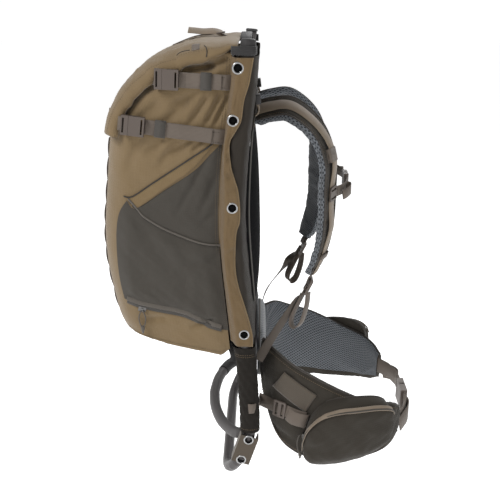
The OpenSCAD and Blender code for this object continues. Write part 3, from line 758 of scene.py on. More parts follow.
def eyelet(name, place, sign, length):
    """One eyelet: a rolled chrome rim, and a neck through the cloth in near-black, painted shade
    inside the bore.
    """
    half = length * 500
    rim = mm([7.0, half - 0.9], [7.3, half - 0.2], [8.4, half + 0.1], [9.6, half - 0.3],
             [10.2, half - 1.1], [10.3, -half], [7.0, -half], [7.0, half - 0.9])
    neck = mm([7.1, half - 0.5], [6.2, half - 1.1], [5.6, half - 1.8], [5.55, -half],
              [7.1, -half], [7.1, half - 0.5])
    piece = lathe(name, rim, place, (0, sign, 0), CHROME, PACK)
    # The neck's near-black colour is painted shade inside the eyelet's bore.
    lathe(name + "_neck", neck, place, (0, sign, 0), EYELET_SHADE, PACK)
    return piece


def small_frame_straps():
    """Lash tabs, tube ties, haul loop and the black tabs under the bag."""
    recoat(TAB_CLOTH, "lash_tabs")
    for side, sign in SIDES:
        line = for_side(mm([-61, -166, 599], [-60, -184, 599], [-50, -189.3, 599],
                           [-36, -189.8, 599], [-24, -188, 599], [-20, -178, 599]), sign)
        tie = strap(f"tube_tie_{side}", line, (0, 0, 1), WEBBING_BLACK, PACK, 0.014, 0.0014)
        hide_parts("tube_ties")
        tab = for_side(mm([-70, -150, 62], [-62, -154, 50], [-58, -158, 36], [-60, -160, 24]),
                       sign)
        strap(f"bottom_tab_{side}", tab, (1, 0.2, 0.2), WEBBING_BLACK, PACK, 0.022)
    line = mm([-37, -72, 590], [-38, -70, 600], [-40, -55, 611.5], [-40, -25, 617],
              [-40, 0, 618], [-40, 25, 617], [-40, 55, 611.5], [-38, 70, 600], [-37, 72, 590])
    loop = strap("haul_loop_webbing", line, (1, 0, 0), WEBBING_BLACK, PACK, 0.020, 0.0022)
    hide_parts("haul_loop")


# ---------------------------------------------------------------- the bag

BAG_Y = 0.1640
CORNER = 0.050          # how far the rear corner's curve reaches along X, and along Y
CORNER_DEPTH = 0.062
REAR_LINE = smooth(mm([-275, 90], [-284, 112], [-291, 150], [-300, 215], [-300.5, 281],
                      [-292, 356], [-281, 446], [-272, 480], [-261, 498], [-238, 528],
                      [-198, 563], [-136, 589], [-90, 596]), 6)
LOW_LINE = mm([-60, 62], [-86, 40], [-184, 62], [-262, 86], [-275, 90])


def rear_x(z):
    """X of the bag's rear at height z."""
    return np.interp(z, REAR_LINE[:, 1], REAR_LINE[:, 0])


def low_z(x):
    """Z of the bag's lower edge at x."""
    return np.interp(-np.asarray(x), -LOW_LINE[:, 0], LOW_LINE[:, 1])


def crease(x, z, start, end, width, depth):
    """A soft valley along a line from start to end, in the plane of the bag's side."""
    a = mm(start)
    b = mm(end)
    length = np.linalg.norm(b - a)
    along = (b - a) / length
    t = ((x - a[0]) * along[0] + (z - a[1]) * along[1]) / length
    off = -(x - a[0]) * along[1] + (z - a[1]) * along[0]
    inside = ease(t / 0.25) * ease((1 - t) / 0.35)
    return -FOLD_DEPTH * depth * inside * bell(off, width * FOLD_WIDTH)


FOLD_DEPTH = 1.25  # these two deepen and narrow all the folds below together
FOLD_WIDTH = 0.9
FOLDS = (  # from (x, z) to (x, z) in mm, width and depth in metres
    ((-62, 533), (-96, 468), 0.0048, 0.0060),
    ((-76, 534), (-112, 468), 0.0050, 0.0062),
    ((-96, 532), (-140, 470), 0.0060, 0.0060),
    ((-112, 534), (-170, 505), 0.0070, 0.0048),
    ((-130, 522), (-182, 474), 0.0085, 0.0055),
    ((-176, 520), (-235, 470), 0.0100, 0.0040),
    ((-108, 456), (-134, 428), 0.0045, 0.0050),
    ((-124, 455), (-172, 424), 0.0055, 0.0056),
    ((-146, 456), (-190, 410), 0.0065, 0.0050),
    ((-172, 458), (-216, 424), 0.0080, 0.0045),
    ((-130, 446), (-200, 396), 0.0080, 0.0040),
    ((-215, 462), (-252, 380), 0.0110, 0.0040),
    ((-62, 588), (-112, 566), 0.0070, 0.0080),
    ((-84, 574), (-160, 562), 0.0085, 0.0150),
    ((-140, 566), (-222, 530), 0.0090, 0.0130),
    ((-205, 542), (-266, 486), 0.0090, 0.0090),
    ((-92, 440), (-172, 300), 0.0070, 0.0030),
    ((-84, 400), (-128, 300), 0.0080, 0.0026),
    ((-78, 240), (-150, 222), 0.0080, 0.0022),
    ((-82, 330), (-130, 290), 0.0080, 0.0022),
    ((-90, 120), (-150, 96), 0.0060, 0.0040),
    ((-180, 120), (-240, 112), 0.0070, 0.0035),
)


def side_depth(x, z):
    """How far from the middle plane the bag's side stands at (x, z), folds included."""
    x = np.asarray(x, float)
    z = np.asarray(z, float)
    rear = rear_x(z)
    seam = seam_x(z)
    depth = np.clip((seam - x) / np.maximum(seam - rear, 1e-4), 0, 1)
    puff = 0.0042 * np.sin(math.pi * np.clip(depth * 1.05, 0, 1)) * ease((z - 0.06) / 0.08)
    for start, end, width, drop in FOLDS:
        puff = puff + crease(x, z, start, end, width, drop)
    puff = puff + 0.0007 * wrinkle(x * 14, z * 14, 0.4)
    into_corner = np.clip((rear + CORNER - x) / CORNER, 0, 1)
    straight = BAG_Y + puff * (1 - into_corner)
    return straight - CORNER_DEPTH * (1 - np.sqrt(np.clip(1 - into_corner ** 2, 0, 1)))


def on_side(points, sign, lift):
    """(x, z) pairs in metres, laid on the bag's side and lifted off it."""
    p = np.asarray(points, float)
    y = side_depth(p[..., 0], p[..., 1]) + lift
    return np.stack([p[..., 0], sign * y, p[..., 1]], axis=-1)


def rear_bulge(y, z):
    """How far the rear face stands back from its outline, with folds between the chains."""
    pulled = bell(np.abs(y) - 0.095, 0.016)
    folds = 0.0011 * wrinkle(y * 16, z * 12, 3.1)
    return folds - 0.0030 * pulled + 0.0022 * bell(y, 0.07)


def bag_shell():
    """The tan body: one skin from the right seam round the rear to the left seam."""
    steps = np.linspace(0, 1, 190)
    along_side = np.linspace(0, 1, 70)
    rows = []
    for s in steps:
        z_rear = 0.090 + (0.596 - 0.090) * s
        rear = float(rear_x(z_rear))
        seam = float(seam_x(max(z_rear, 0.07)))
        x = seam + (rear - seam) * np.concatenate([along_side * 0.78,
                                                   0.78 + 0.22 * np.sin(np.linspace(0.06, 1, 26)
                                                                        * math.pi / 2)])
        lower = low_z(x)
        z = lower + (0.596 - lower) * s
        xr = np.interp(x, [rear, seam], [1, 0])
        z = z * (1 - xr ** 6) + z_rear * xr ** 6
        y = side_depth(np.maximum(x, rear_x(z) + 1e-5), z)
        right = np.stack([x, -y, z], axis=1)
        left = np.stack([x, y, z], axis=1)[::-1]
        inner = y[-1]
        across = np.linspace(-inner, inner, 50)[1:-1]
        rear_row = np.stack([rear - rear_bulge(across, z_rear) * ease((inner - np.abs(across))
                                                                      / 0.02),
                             across, np.full(48, z_rear)], axis=1)
        rows.append(np.vstack([right, rear_row, left]))
    piece = grid_piece("bag_body", rows, TAN, PACK)
    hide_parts("bag_sides", "bag_rear_panel")
    bag_bottom(rows[0])
    bag_front()


def bag_bottom(rim):
    """The bottom panel hangs a little between the two sides' lower edges."""
    half = len(rim) // 2
    right = even(rim[:half], 40)
    left = even(rim[::-1][:half], 40)
    t = np.linspace(0, 1, 34)[None, :, None]
    points = right[:, None] * (1 - t) + left[:, None] * t
    points[..., 2] -= 0.0035 * np.sin(math.pi * t[..., 0]) ** 0.6
    points[..., 2] += 0.0010 * wrinkle(points[..., 0] * 18, points[..., 1] * 18, 5.0)
    piece = grid_piece("bag_bottom_panel", points, TAN_LOW, PACK)
    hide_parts("bag_bottom")


def bag_front():
    """The bag's panel that lies against the frame."""
    rows = [[(float(seam_x(z)) + 0.0006, y, z) for y in np.linspace(-0.164, 0.164, 24)]
            for z in np.linspace(0.592, 0.045, 40)]
    piece = grid_piece("bag_frame_panel_cloth", rows, LINING, PACK)
    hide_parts("bag_frame_panel")


def coons(low, high, first, last, rows, cols):
    """A patch between four boundary curves of (x, z): first joins the starts, last the ends."""
    low = even(low, cols)
    high = even(high, cols)
    first = even(first, rows)
    last = even(last, rows)
    u = np.linspace(0, 1, cols)[None, :, None]
    v = np.linspace(0, 1, rows)[:, None, None]
    upward = low[None] * (1 - v) + high[None] * v
    along = first[:, None] * (1 - u) + last[:, None] * u
    corners = ((1 - u) * (1 - v) * low[0] + u * (1 - v) * low[-1]
               + (1 - u) * v * high[0] + u * v * high[-1])
    return upward + along - corners


def tucked(rows, cols, reach):
    """0 at a grid's edges, rising to 1 over reach, a share of the grid."""
    u = np.linspace(0, 1, cols)
    v = np.linspace(0, 1, rows)
    across = ease(np.minimum(u, 1 - u) / reach)
    along = ease(np.minimum(v, 1 - v) / reach)
    return along[:, None] * across[None, :]


POCKET_TOP = smooth(mm([-244, 348], [-230, 331], [-218, 316], [-196, 301], [-174, 289],
                       [-140, 274], [-112, 265], [-83, 262]), 5)
POCKET_REAR = smooth(mm([-264, 154], [-270, 190], [-272, 237], [-270, 286], [-262, 322],
                        [-244, 348]), 5)
ZIP_LINE = smooth(mm([-264, 154], [-234, 144], [-204, 137], [-157, 127], [-134, 117],
                     [-110, 104], [-87, 95], [-72, 93]), 5)
BAND_LOW = smooth(mm([-246, 344], [-231, 331], [-183, 364], [-149, 387], [-126, 405],
                     [-108, 426], [-88, 447]), 5)
BAND_TOP = smooth(mm([-252, 352], [-236, 352], [-200, 376], [-160, 402], [-126, 424],
                     [-100, 441], [-84, 455]), 5)


def front_seam(z_low, z_high):
    """The panels' front edge, 2 mm behind the flange's seam."""
    return [(float(seam_x(z)) - 0.002, z) for z in np.linspace(z_low, z_high, 12)]


def side_panels(side, sign):
    """The stretch cloth on the bag's side: an upper panel, a pocket and their bindings."""
    upper = coons(POCKET_TOP, BAND_LOW, [POCKET_TOP[0], BAND_LOW[0]],
                  front_seam(0.262, 0.447), 40, 60)
    lift = 0.0004 + 0.0010 * tucked(40, 60, 0.08)
    panel = grid_piece(f"upper_panel_{side}", on_side(upper, sign, lift), STRETCH, PACK)
    pocket = coons(ZIP_LINE, POCKET_TOP, POCKET_REAR, front_seam(0.093, 0.262), 60, 70)
    x = pocket[..., 0]
    z = pocket[..., 1]
    rest = tucked(60, 70, 0.16)
    rows_v = np.linspace(0, 1, 60)[:, None]
    slack = 0.0016 * bell(rows_v - 0.86, 0.12) * np.sin(x * 120 + z * 40)
    lift = 0.0009 + rest * (0.0042 + slack + 0.0010 * wrinkle(x * 13, z * 13, 1.1 + sign))
    skin = grid_piece(f"pocket_{side}", on_side(pocket, sign, lift), STRETCH, PACK)
    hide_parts("side_pockets")
    binding = on_side(POCKET_TOP, sign, 0.0022)
    strap(f"pocket_binding_{side}", binding, (0, 0, 1), STRETCH_PALE, PACK, 0.0035, 0.0014, 2)
    stitches(f"pocket_binding_stitch_{side}", on_side(POCKET_TOP - (0, 0.0045), sign, 0.0026),
             (0, sign, 0), PACK, PIPING)
    band = coons(BAND_LOW, BAND_TOP, [BAND_LOW[0], BAND_TOP[0]], [BAND_LOW[-1], BAND_TOP[-1]],
                 10, 60)
    strip = grid_piece(f"tan_band_{side}", on_side(band, sign, 0.0013), TAN_BAND, PACK)
    for name, line, thread in (("top", BAND_TOP, PIPING), ("low", BAND_LOW, THREAD)):
        stitches(f"band_stitch_{name}_{side}", on_side(line, sign, 0.0020), (0, sign, 0), PACK,
                 thread)
    tube(f"band_piping_{side}", on_side(BAND_TOP, sign, 0.0012), 0.0013, PIPING, PACK, count=8)
    for shift in (0.0035, 0.0075):
        seam = [(float(seam_x(z)) - shift, z) for z in np.linspace(0.585, 0.10, 120)]
        stitches(f"seam_stitch_{int(shift * 10000)}_{side}", on_side(seam, sign, 0.0006),
                 (0, sign, 0), PACK)
    low_seam = [(x, float(low_z(x)) + 0.006) for x in np.linspace(-0.262, -0.075, 60)]
    stitches(f"low_seam_stitch_{side}", on_side(low_seam, sign, 0.0006), (0, sign, 0), PACK)


def side_zipper(side, sign):
    """The zipper along the pocket's lower edge, with its slider and cord pull."""
    line = smooth(mm([-258, 151], [-234, 144], [-204, 137], [-157, 127], [-134, 117],
                     [-110, 104], [-84, 95]), 6)
    tape = strap(f"side_zip_tape_{side}", on_side(line, sign, 0.0022), (0, 0, 1), ZIP_TAPE, PACK,
                 0.009, 0.0014, 2)
    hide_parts("side_zippers")
    hood = on_side(line + (0, 0.0065), sign, 0.0030)
    strap(f"side_zip_hood_{side}", hood, (0, 0.25, 1), STRETCH_PALE, PACK, 0.008, 0.0011, 2)
    recoat(ZIP_METAL, f"side_zip_slider_{side}")
    cord_pull(f"side_zip_pull_{side}", 0.046)


def cord_pull(cad_node, drop):
    """A loop of thin cord from a slider's eye, its two legs held together by a moulded tip."""
    low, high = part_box(cad_node)
    top = Vector(((low.x + high.x) / 2, (low.y + high.y) / 2, high.z - 0.0012))
    leg = [(1.6, 0), (4.0, -0.10), (6.2, -0.30), (5.0, -0.52), (2.6, -0.68), (2.2, -0.76),
           (1.5, -0.80)]
    other_leg = [(-x, z) for x, z in leg[::-1]]
    loop_line = [*leg, (0, -0.82), *other_leg]
    line = smooth([top + Vector((x / 1000, 0, drop * z)) for x, z in loop_line], 6)
    loop = tube(cad_node + "_cord", line, 0.0011, CORD, cad_node, count=10)
    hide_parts(cad_node)
    tip = lathe(cad_node + "_tip", mm([0.2, 1], [2.6, 0.4], [3.5, -1.6], [3.5, -6.5], [2.8, -9],
                                      [2.0, -10], [1.9, -14], [0.2, -14.6]),
                (top.x, top.y, top.z - drop * 0.66), (0, 0, 1), CORD, cad_node, 18)


def webbing_band(name, center, along, up, half_w, half_t, width, material, body):
    """A keeper: a flat band round a strap. along is the strap's way, up that of its width."""
    along = Vector(along).normalized()
    up = Vector(up).normalized()
    out = along.cross(up)
    turn = np.linspace(0, 2 * math.pi, 33)
    line = []
    for a in turn:
        high = math.copysign(abs(math.cos(a)) ** 0.35, math.cos(a))
        proud = math.copysign(abs(math.sin(a)) ** 0.5, math.sin(a))
        line.append(np.array(center) + np.array(up) * half_w * high
                    + np.array(out) * half_t * proud)
    outline = np.array([(-width / 2, -0.0006), (width / 2, -0.0006), (width / 2, 0.0006),
                        (-width / 2, 0.0006)])
    return sweep(name, line, np.array(along), outline, material, body)


STRAP_Y = 0.1710
PLUG_Y = 0.1735


def compression_straps(side, sign):
    """The two side straps, their keepers and the short webbing beyond each buckle."""
    lines = {
        "upper": (mm([-68, 547], [-148, 551.5]), "lid_plug", 0.44),
        "lower": (mm([-79, 457], [-208, 474]), "side_plug", 0.80),
    }
    for name, ((start, end), plug, keeper_at) in lines.items():
        along = unit(end - start)
        along3 = np.array([along[0], 0, along[1]])
        up = np.array([along[1], 0, -along[0]])
        path = [(start[0] + 0.006, sign * 0.1665, start[1])]
        for t in np.linspace(0.03, 1, 12):
            p = start + (end - start) * t
            path.append((p[0], sign * (STRAP_Y + 0.0006 * math.sin(t * 9)), p[1]))
        web = strap(f"{name}_strap_{side}", path, up, WEBBING, PACK, 0.025, 0.0016, 4)
        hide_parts("side_straps")
        fold = []
        for t in np.linspace(0.12, 0.86, 9):
            p = start + (end - start) * t
            fold.append((p[0], sign * (STRAP_Y + 0.0021 + 0.0006 * math.sin(t * 14)), p[1]))
        tail = strap(f"{name}_strap_tail_{side}", fold, up, WEBBING, PACK, 0.0245, 0.0014, 4)
        p = start + (end - start) * keeper_at
        keeper = webbing_band(f"{name}_keeper_0_{side}", (p[0], sign * (STRAP_Y + 0.001), p[1]),
                              along3, up, 0.0140, 0.0038, 0.018, ELASTIC, PACK)
        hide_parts("strap_keepers")
        for row in (-0.0085, 0.0085):
            tack = [(start[0] - back, sign * (STRAP_Y + 0.0013), start[1] + row)
                    for back in (0.004, 0.016)]
            stitches(f"{name}_tack_{int(row * 10000)}_{side}", tack, (0, sign, 0), PACK,
                     PIPING, 0.0025, 0.0017)
        anchor_webbing(name, side, sign, plug, along3, up)


def anchor_webbing(name, side, sign, plug, along, up):
    """Webbing from a side buckle's plug to the bag."""
    low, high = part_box(f"{plug}_{side}")
    middle = (low + high) / 2
    reach = 0.020 if name == "upper" else 0.038
    start = np.array([low.x + 0.006, sign * PLUG_Y, middle.z + (0.001 if name == "lower" else 0)])
    path = [start]
    for t in (0.4, 0.8, 1.0):
        x = start[0] + along[0] * reach * t * (1.0 if along[0] < 0 else -1.0)
        z = start[2] + along[2] * reach * t
        rest = float(side_depth(x, z)) + 0.0022
        path.append((x, sign * (PLUG_Y * (1 - t) + rest * t), z))
    web = strap(f"{name}_anchor_{side}", path, up, WEBBING, None, 0.024, 0.0016, 6)
    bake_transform(web)


CHAIN_LOW = 0.118
CHAIN_PITCH = 0.042
CHAIN_Y = 0.104


def daisy_chains():
    """Two rows of webbing loops down the rear, tacked at every pitch."""
    z = np.linspace(0.445, CHAIN_LOW, 140)
    swell = np.abs(np.sin((z - CHAIN_LOW) / CHAIN_PITCH * math.pi)) ** 0.7
    for side, sign in SIDES:
        x = rear_x(z) + 0.0018 - 0.0026 * swell
        path = np.stack([x, np.full(140, sign * CHAIN_Y), z], axis=1)
        chain = strap(f"daisy_chain_{side}", path, (0, 1, 0), WEBBING, PACK, 0.025, 0.0018, 1)
        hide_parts("daisy_chains")
        for k in range(8):
            tack_z = CHAIN_LOW + CHAIN_PITCH * k
            tack_x = float(rear_x(tack_z)) - 0.0002
            tack = [(tack_x, sign * CHAIN_Y + across, tack_z) for across in (-0.011, 0.011)]
            stitches(f"daisy_tack_{side}_{k}", tack, (-1, 0, 0), PACK, THREAD, 0.0024, 0.0017)


def bag():
    bag_shell()
    for side, sign in SIDES:
        side_panels(side, sign)
        side_zipper(side, sign)
        compression_straps(side, sign)
    daisy_chains()
    recoat(PLASTIC, "buckle_sockets", "lid_plug_right", "lid_plug_left", "side_plug_right",
           "side_plug_left")


# ---------------------------------------------------------------- the lid

LID_LINE = smooth(mm([-50, 611.5], [-66, 612], [-84, 610], [-112, 609], [-139, 604],
                     [-172, 592], [-205, 577], [-247, 540], [-270, 507], [-281, 484],
                     [-286.5, 462]), 7)


def lid():
    """The lid: a crowned top with rolled side edges and a gathered skirt."""
    path = even(LID_LINE, 90)
    tangent = unit(np.gradient(path, axis=0))
    outward = np.stack([tangent[:, 1], -tangent[:, 0]], axis=1)
    section = smooth(mm([0, 0], [60, 0.3], [110, 1.2], [140, 3.4], [157, 8.0], [166, 14.5],
                        [169.6, 21], [169.8, 26.5], [167.4, 30.5], [163.5, 32]), 6)
    section = even(section, 60)
    rows = []
    for k, (point, out) in enumerate(zip(path, outward)):
        s = k / 89
        skirt = 0.35 + 0.65 * ease(s / 0.22)
        half = []
        for y, drop in section:
            near_edge = ease((y - 0.13) / 0.03)
            gather = 0.0008 * math.sin(s * 46 + 2.0 * math.sin(s * 9)) * ease((drop - 0.006) / 0.02)
            puff = 0.0028 * math.sin(math.pi * min(1, s * 1.1)) * (1 - near_edge)
            fold = 0.0012 * float(wrinkle(np.array(y * 14), np.array(s * 7), 2.2)) \
                * math.sin(math.pi * s)
            dart = -0.0026 * float(bell(s - 0.36, 0.018)) * near_edge
            lift = puff + fold + dart + gather - drop * skirt
            half.append((point[0] + out[0] * lift, y + gather * 0.6 - 0.0005,
                         point[1] + out[1] * lift))
        half = np.array(half)
        rows.append(np.vstack([mirrored(half)[::-1], half[1:]]))
    rows = np.array(rows)
    piece = grid_piece("lid_cloth", rows, TAN, "lid")
    thicken(piece, 0.0012, 0)
    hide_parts("lid")
    for side, sign in SIDES:
        column = 8 if sign < 0 else rows.shape[1] - 9
        stitches(f"lid_stitch_{side}", rows[4:, column] + (0, sign * 0.0009, 0), (0, sign, 0),
                 "lid")
    lid_details(rows)


def lid_details(rows):
    """The grey patch with its slit, and the top strap with its tri-glide."""
    tail = mm([-74, 0, 611], [-84, 0, 614.6], [-92, 0, 616.4], [-108, 0, 614.5],
              [-128, 0, 612.6], [-147, 0, 607.5], [-176, 0, 596])
    web = strap("lid_strap_webbing", tail, (0, 1, 0), WEBBING, "lid", 0.020, 0.0016)
    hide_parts("lid_strap")
    free = mm([-84, -2, 616.0], [-94, -6, 619.5], [-104, -6, 620.6], [-120, -6, 620.0],
              [-134, -6, 621.4], [-147, -6, 622.5])
    strap("lid_strap_tail", free, (0, 0.86, 0.5), WEBBING_PALE, "lid", 0.019, 0.0015)
    glide = placing((-0.088, 0, 0.6175), (1, 0, 0.12), (0, 1, 0))
    plate("lid_tri_glide", rounded(0.016, 0.028, 0.003), (0.0035, 0.021), (0.0042, 0), 0.0026,
          glide, PLASTIC, "lid")
    last = rows.shape[1] - 1
    for side, sign in SIDES:
        columns = np.arange(9, 16) if sign < 0 else last - np.arange(9, 16)
        patch = rows[19:24][:, columns] + (0, sign * 0.0012, 0.0008)
        grid_piece(f"lid_patch_{side}", patch, WEBBING, "lid", thick=0.0008)
        for name, line in (("slit", ((24, 10.0), (27, 10.6), (31, 9.6))),
                           ("dart", ((15.4, 3.5), (15.0, 6.0), (15.4, 9.0), (16.6, 12.0)))):
            points = [surface_point(rows, row, column if sign < 0 else last - column)
                      for row, column in smooth(line, 6)]
            points = np.array(points) + (0, sign * 0.0007, 0.0004)
            tube(f"lid_{name}_{side}", points, 0.0009, PIPING, "lid", count=8)


def surface_point(rows, row, column):
    """The point of a grid at a fractional row and column."""
    r = int(row)
    c = int(column)
    near, far = rows[r:r + 2, c] * (1 - column + c) + rows[r:r + 2, c + 1] * (column - c)
    return near * (1 - row + r) + far * (row - r)


# ---------------------------------------------------------------- pads

def superellipse(half_w, half_t, power, count=44, center=0.0):
    """A pad's section: its width first, its thickness second."""
    section = oval(half_w, half_t, count, power)
    section[:, 0] += center
    return section


def pad(name, path, side, sections, body, face, edge, cad_node, mirror=False):
    """A padded strip. The half of its section above zero is the face cloth, the rest the edge's."""
    points = rings(path, side, np.array(sections))
    if mirror:
        points = mirrored(points)
    piece = grid_piece(name, points, face, body, closed=True, capped=True)
    piece.data.materials.append(edge)
    count = len(sections[0])
    depth = np.array([s[:, 1] for s in sections])
    for index in range((len(path) - 1) * count):
        row, column = divmod(index, count)
        if depth[row, column] + depth[row, (column + 1) % count] < 0:
            piece.data.polygons[index].material_index = 1
    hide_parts(cad_node)
    return piece


def quilt(piece, strength, scale, seed):
    """Small hand-made looking hollows in a pad's cloth, along its normals."""
    mesh = piece.data
    points = np.array([v.co for v in mesh.vertices])
    normals = np.array([v.normal for v in mesh.vertices])
    wave = wrinkle(points[:, 2] * scale / 3 + points[:, 0] * scale / 7,
                   points[:, 0] * scale / 4 + points[:, 1] * scale / 4, seed)
    points += normals * (wave * strength)[:, None]
    mesh.vertices.foreach_set("co", points.ravel())
    mesh.update()


CLOTH_FRAMES = 14


def inflate(piece, reach, seams):
    """Puffs a pad's cloth out by at most reach, with a short cloth simulation.

    seams marks the points kept still.
    """
    start = np.array([v.co for v in piece.data.vertices])
    sim = piece.copy()
    sim.data = piece.data.copy()
    scene.collection.objects.link(sim)
    group = sim.vertex_groups.new(name="seams")
    group.add([int(i) for i in np.nonzero(seams)[0]], 1.0, "REPLACE")
    cloth_modifier = sim.modifiers.new("cloth", "CLOTH")
    settings = cloth_modifier.settings
    settings.use_pressure = True
    settings.uniform_pressure_force = 3.0
    settings.effector_weights.gravity = 0
    settings.tension_stiffness = 22
    settings.compression_stiffness = 12
    settings.bending_stiffness = 1.2
    settings.shrink_min = -0.03
    settings.vertex_group_mass = "seams"
    cloth_modifier.collision_settings.use_collision = False
    cloth_modifier.point_cache.frame_start = 1
    cloth_modifier.point_cache.frame_end = CLOTH_FRAMES
    for step in range(1, CLOTH_FRAMES + 1):
        scene.frame_set(step)
    bpy.context.view_layer.update()
    evaluated = sim.evaluated_get(bpy.context.evaluated_depsgraph_get())
    end = np.array([v.co for v in evaluated.data.vertices])
    move = end - start
    size = np.linalg.norm(move, axis=1, keepdims=True)
    move *= np.minimum(1, reach / np.maximum(size, 1e-9))
    piece.data.vertices.foreach_set("co", (start + move).ravel())
    piece.data.update()
    bpy.data.objects.remove(sim)
    scene.frame_set(1)


def held_edges(sections):
    """The points of a padded strip that its seams hold: both long edges and both ends."""
    thin = np.array([np.abs(section[:, 1]) < 0.0025 for section in sections])
    thin[:3] = True
    thin[-3:] = True
    return thin.ravel()


# ---------------------------------------------------------------- the back and the yoke

WRAP_FACE = 0.0208  # how far the wrap's front stands before the tubes' middle


def back_and_yoke():
    """The black mesh back pad, the shoulder yoke above it and the lumbar pad."""
    rows = []
    for t in np.linspace(0, 1, 70):
        z = 0.452 + (0.112 - 0.452) * t
        half = 0.095 * (0.80 + 0.20 * math.sin(math.pi * t) ** 0.4)
        swell = 0.0045 + 0.0205 * math.sin(math.pi * t) ** 0.8
        y = np.linspace(-1, 1, 40)
        channel = -0.0035 * bell(y, 0.10) * ease(min(t, 1 - t) / 0.12)
        x = float(frame_x(z)) + WRAP_FACE + swell * (1 - np.abs(y) ** 3.2) + channel
        rows.append(np.stack([x, y * half, np.full(40, z)], axis=1))
    rows = np.array(rows)
    back = rows[:, ::-1].copy()
    back[..., 0] = frame_x(back[..., 2]) + WRAP_FACE
    points = np.concatenate([rows, back], axis=1)
    piece = grid_piece("back_panel_pad", points, BLACK_MESH, PACK, closed=True, capped=True)
    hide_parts("back_panel")
    for side, sign in SIDES:
        column = rows[:, 1 if sign < 0 else -2]
        tube(f"back_piping_{side}", column + (0.001, 0, 0), 0.0018, PIPE_GREY, PACK, count=8)
    line = [frame_point(0, z, 0.0222) for z in np.linspace(0.508, 0.456, 30)]
    sections = [superellipse(0.104 * (0.93 + 0.07 * math.sin(math.pi * t)), 0.0022, 0.35, 60)
                for t in np.linspace(0, 1, 30)]
    yoke = pad("yoke_pad", line, (0, 1, 0), sections, PACK, HARNESS, HARNESS, "harness_yoke")
    for row in (0.503, 0.461):
        stitches(f"yoke_stitch_{int(row * 1000)}",
                 [frame_point(y, row, 0.0248) for y in np.linspace(-0.096, 0.096, 30)],
                 (1, 0, 0), PACK)
    for side, sign in SIDES:
        clip = placing(for_side(frame_point(-0.121, 0.514, 0.0245), sign), (0, sign, 0),
                       (-0.12, 0, 1))
        plate(f"load_lifter_clip_{side}", rounded(0.018, 0.017, 0.002), (0.012, 0.003),
              (0, 0.0035), 0.0090, clip, PLASTIC_DARK, PACK)
        tag = [for_side(frame_point(-0.118, z, 0.0212 + out), sign)
               for z, out in ((0.506, 0.0020), (0.500, 0.0062), (0.492, 0.0066), (0.486, 0.0022))]
        strap(f"yoke_tab_{side}", tag, (0, 1, 0), WEBBING_PALE, PACK, 0.020, 0.0030)
    lumbar_pad()


def lumbar_pad():
    """The pad behind the small of the back: pale mesh, with two channels and a bound edge."""
    u = np.linspace(-1, 1, 48)[:, None]
    v = np.linspace(-1, 1, 34)[None, :]
    y = 0.088 * u * np.sqrt(1 - 0.20 * v ** 6)
    z = 0.056 * v * np.sqrt(1 - 0.24 * u ** 10)
    crown = ((1 - u ** 6) * (1 - v ** 6)) ** 0.5
    dip = 0.0030 * (bell(z - 0.019, 0.004) + bell(z + 0.019, 0.004)) * ease((1 - np.abs(u)) / 0.2)
    front = np.stack([-0.0135 + 0.0128 * crown - dip, y, z], axis=-1)
    back = np.stack([np.full(y.shape, -0.0178), y, z], axis=-1)[:, ::-1]
    points = np.concatenate([front, back], axis=1)
    piece = grid_piece("lumbar_mesh_pad", points, PALE_MESH, PACK, closed=True, capped=True)
    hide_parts("lumbar_pad")
    edge = np.vstack([front[:, 0], front[-1], front[::-1, -1], front[0, ::-1]])
    tube("lumbar_binding", edge, 0.0016, PIPE_GREY, PACK, side=(1, 0, 0), count=8)


# ---------------------------------------------------------------- shoulder straps

PAD_LINE = mm([-27, -70, 479], [6, -76, 489], [42, -86, 490], [84, -100, 456], [105, -108, 405],
              [107, -112, 350], [106, -112, 280], [97, -110, 228], [83, -106, 190])
PAD_ROWS = 110


def pad_frame():
    """The shoulder strap's path, the way of its width and that width, row by row."""
    path = even(smooth(PAD_LINE, 8), PAD_ROWS)
    k = np.linspace(0, 1, PAD_ROWS)
    t = np.minimum(1, k / 0.55)
    side = unit(np.stack([-0.42 * t, -0.75 - 0.15 * t, -0.66 * (1 - t)], axis=1))
    width = 0.068 * (0.8 + 0.2 * np.sin(np.pi * np.minimum(1, k * 1.1)))
    ends = ease(k / 0.035) * ease((1 - k) / 0.045)
    return path, side, width * (0.72 + 0.28 * ends)


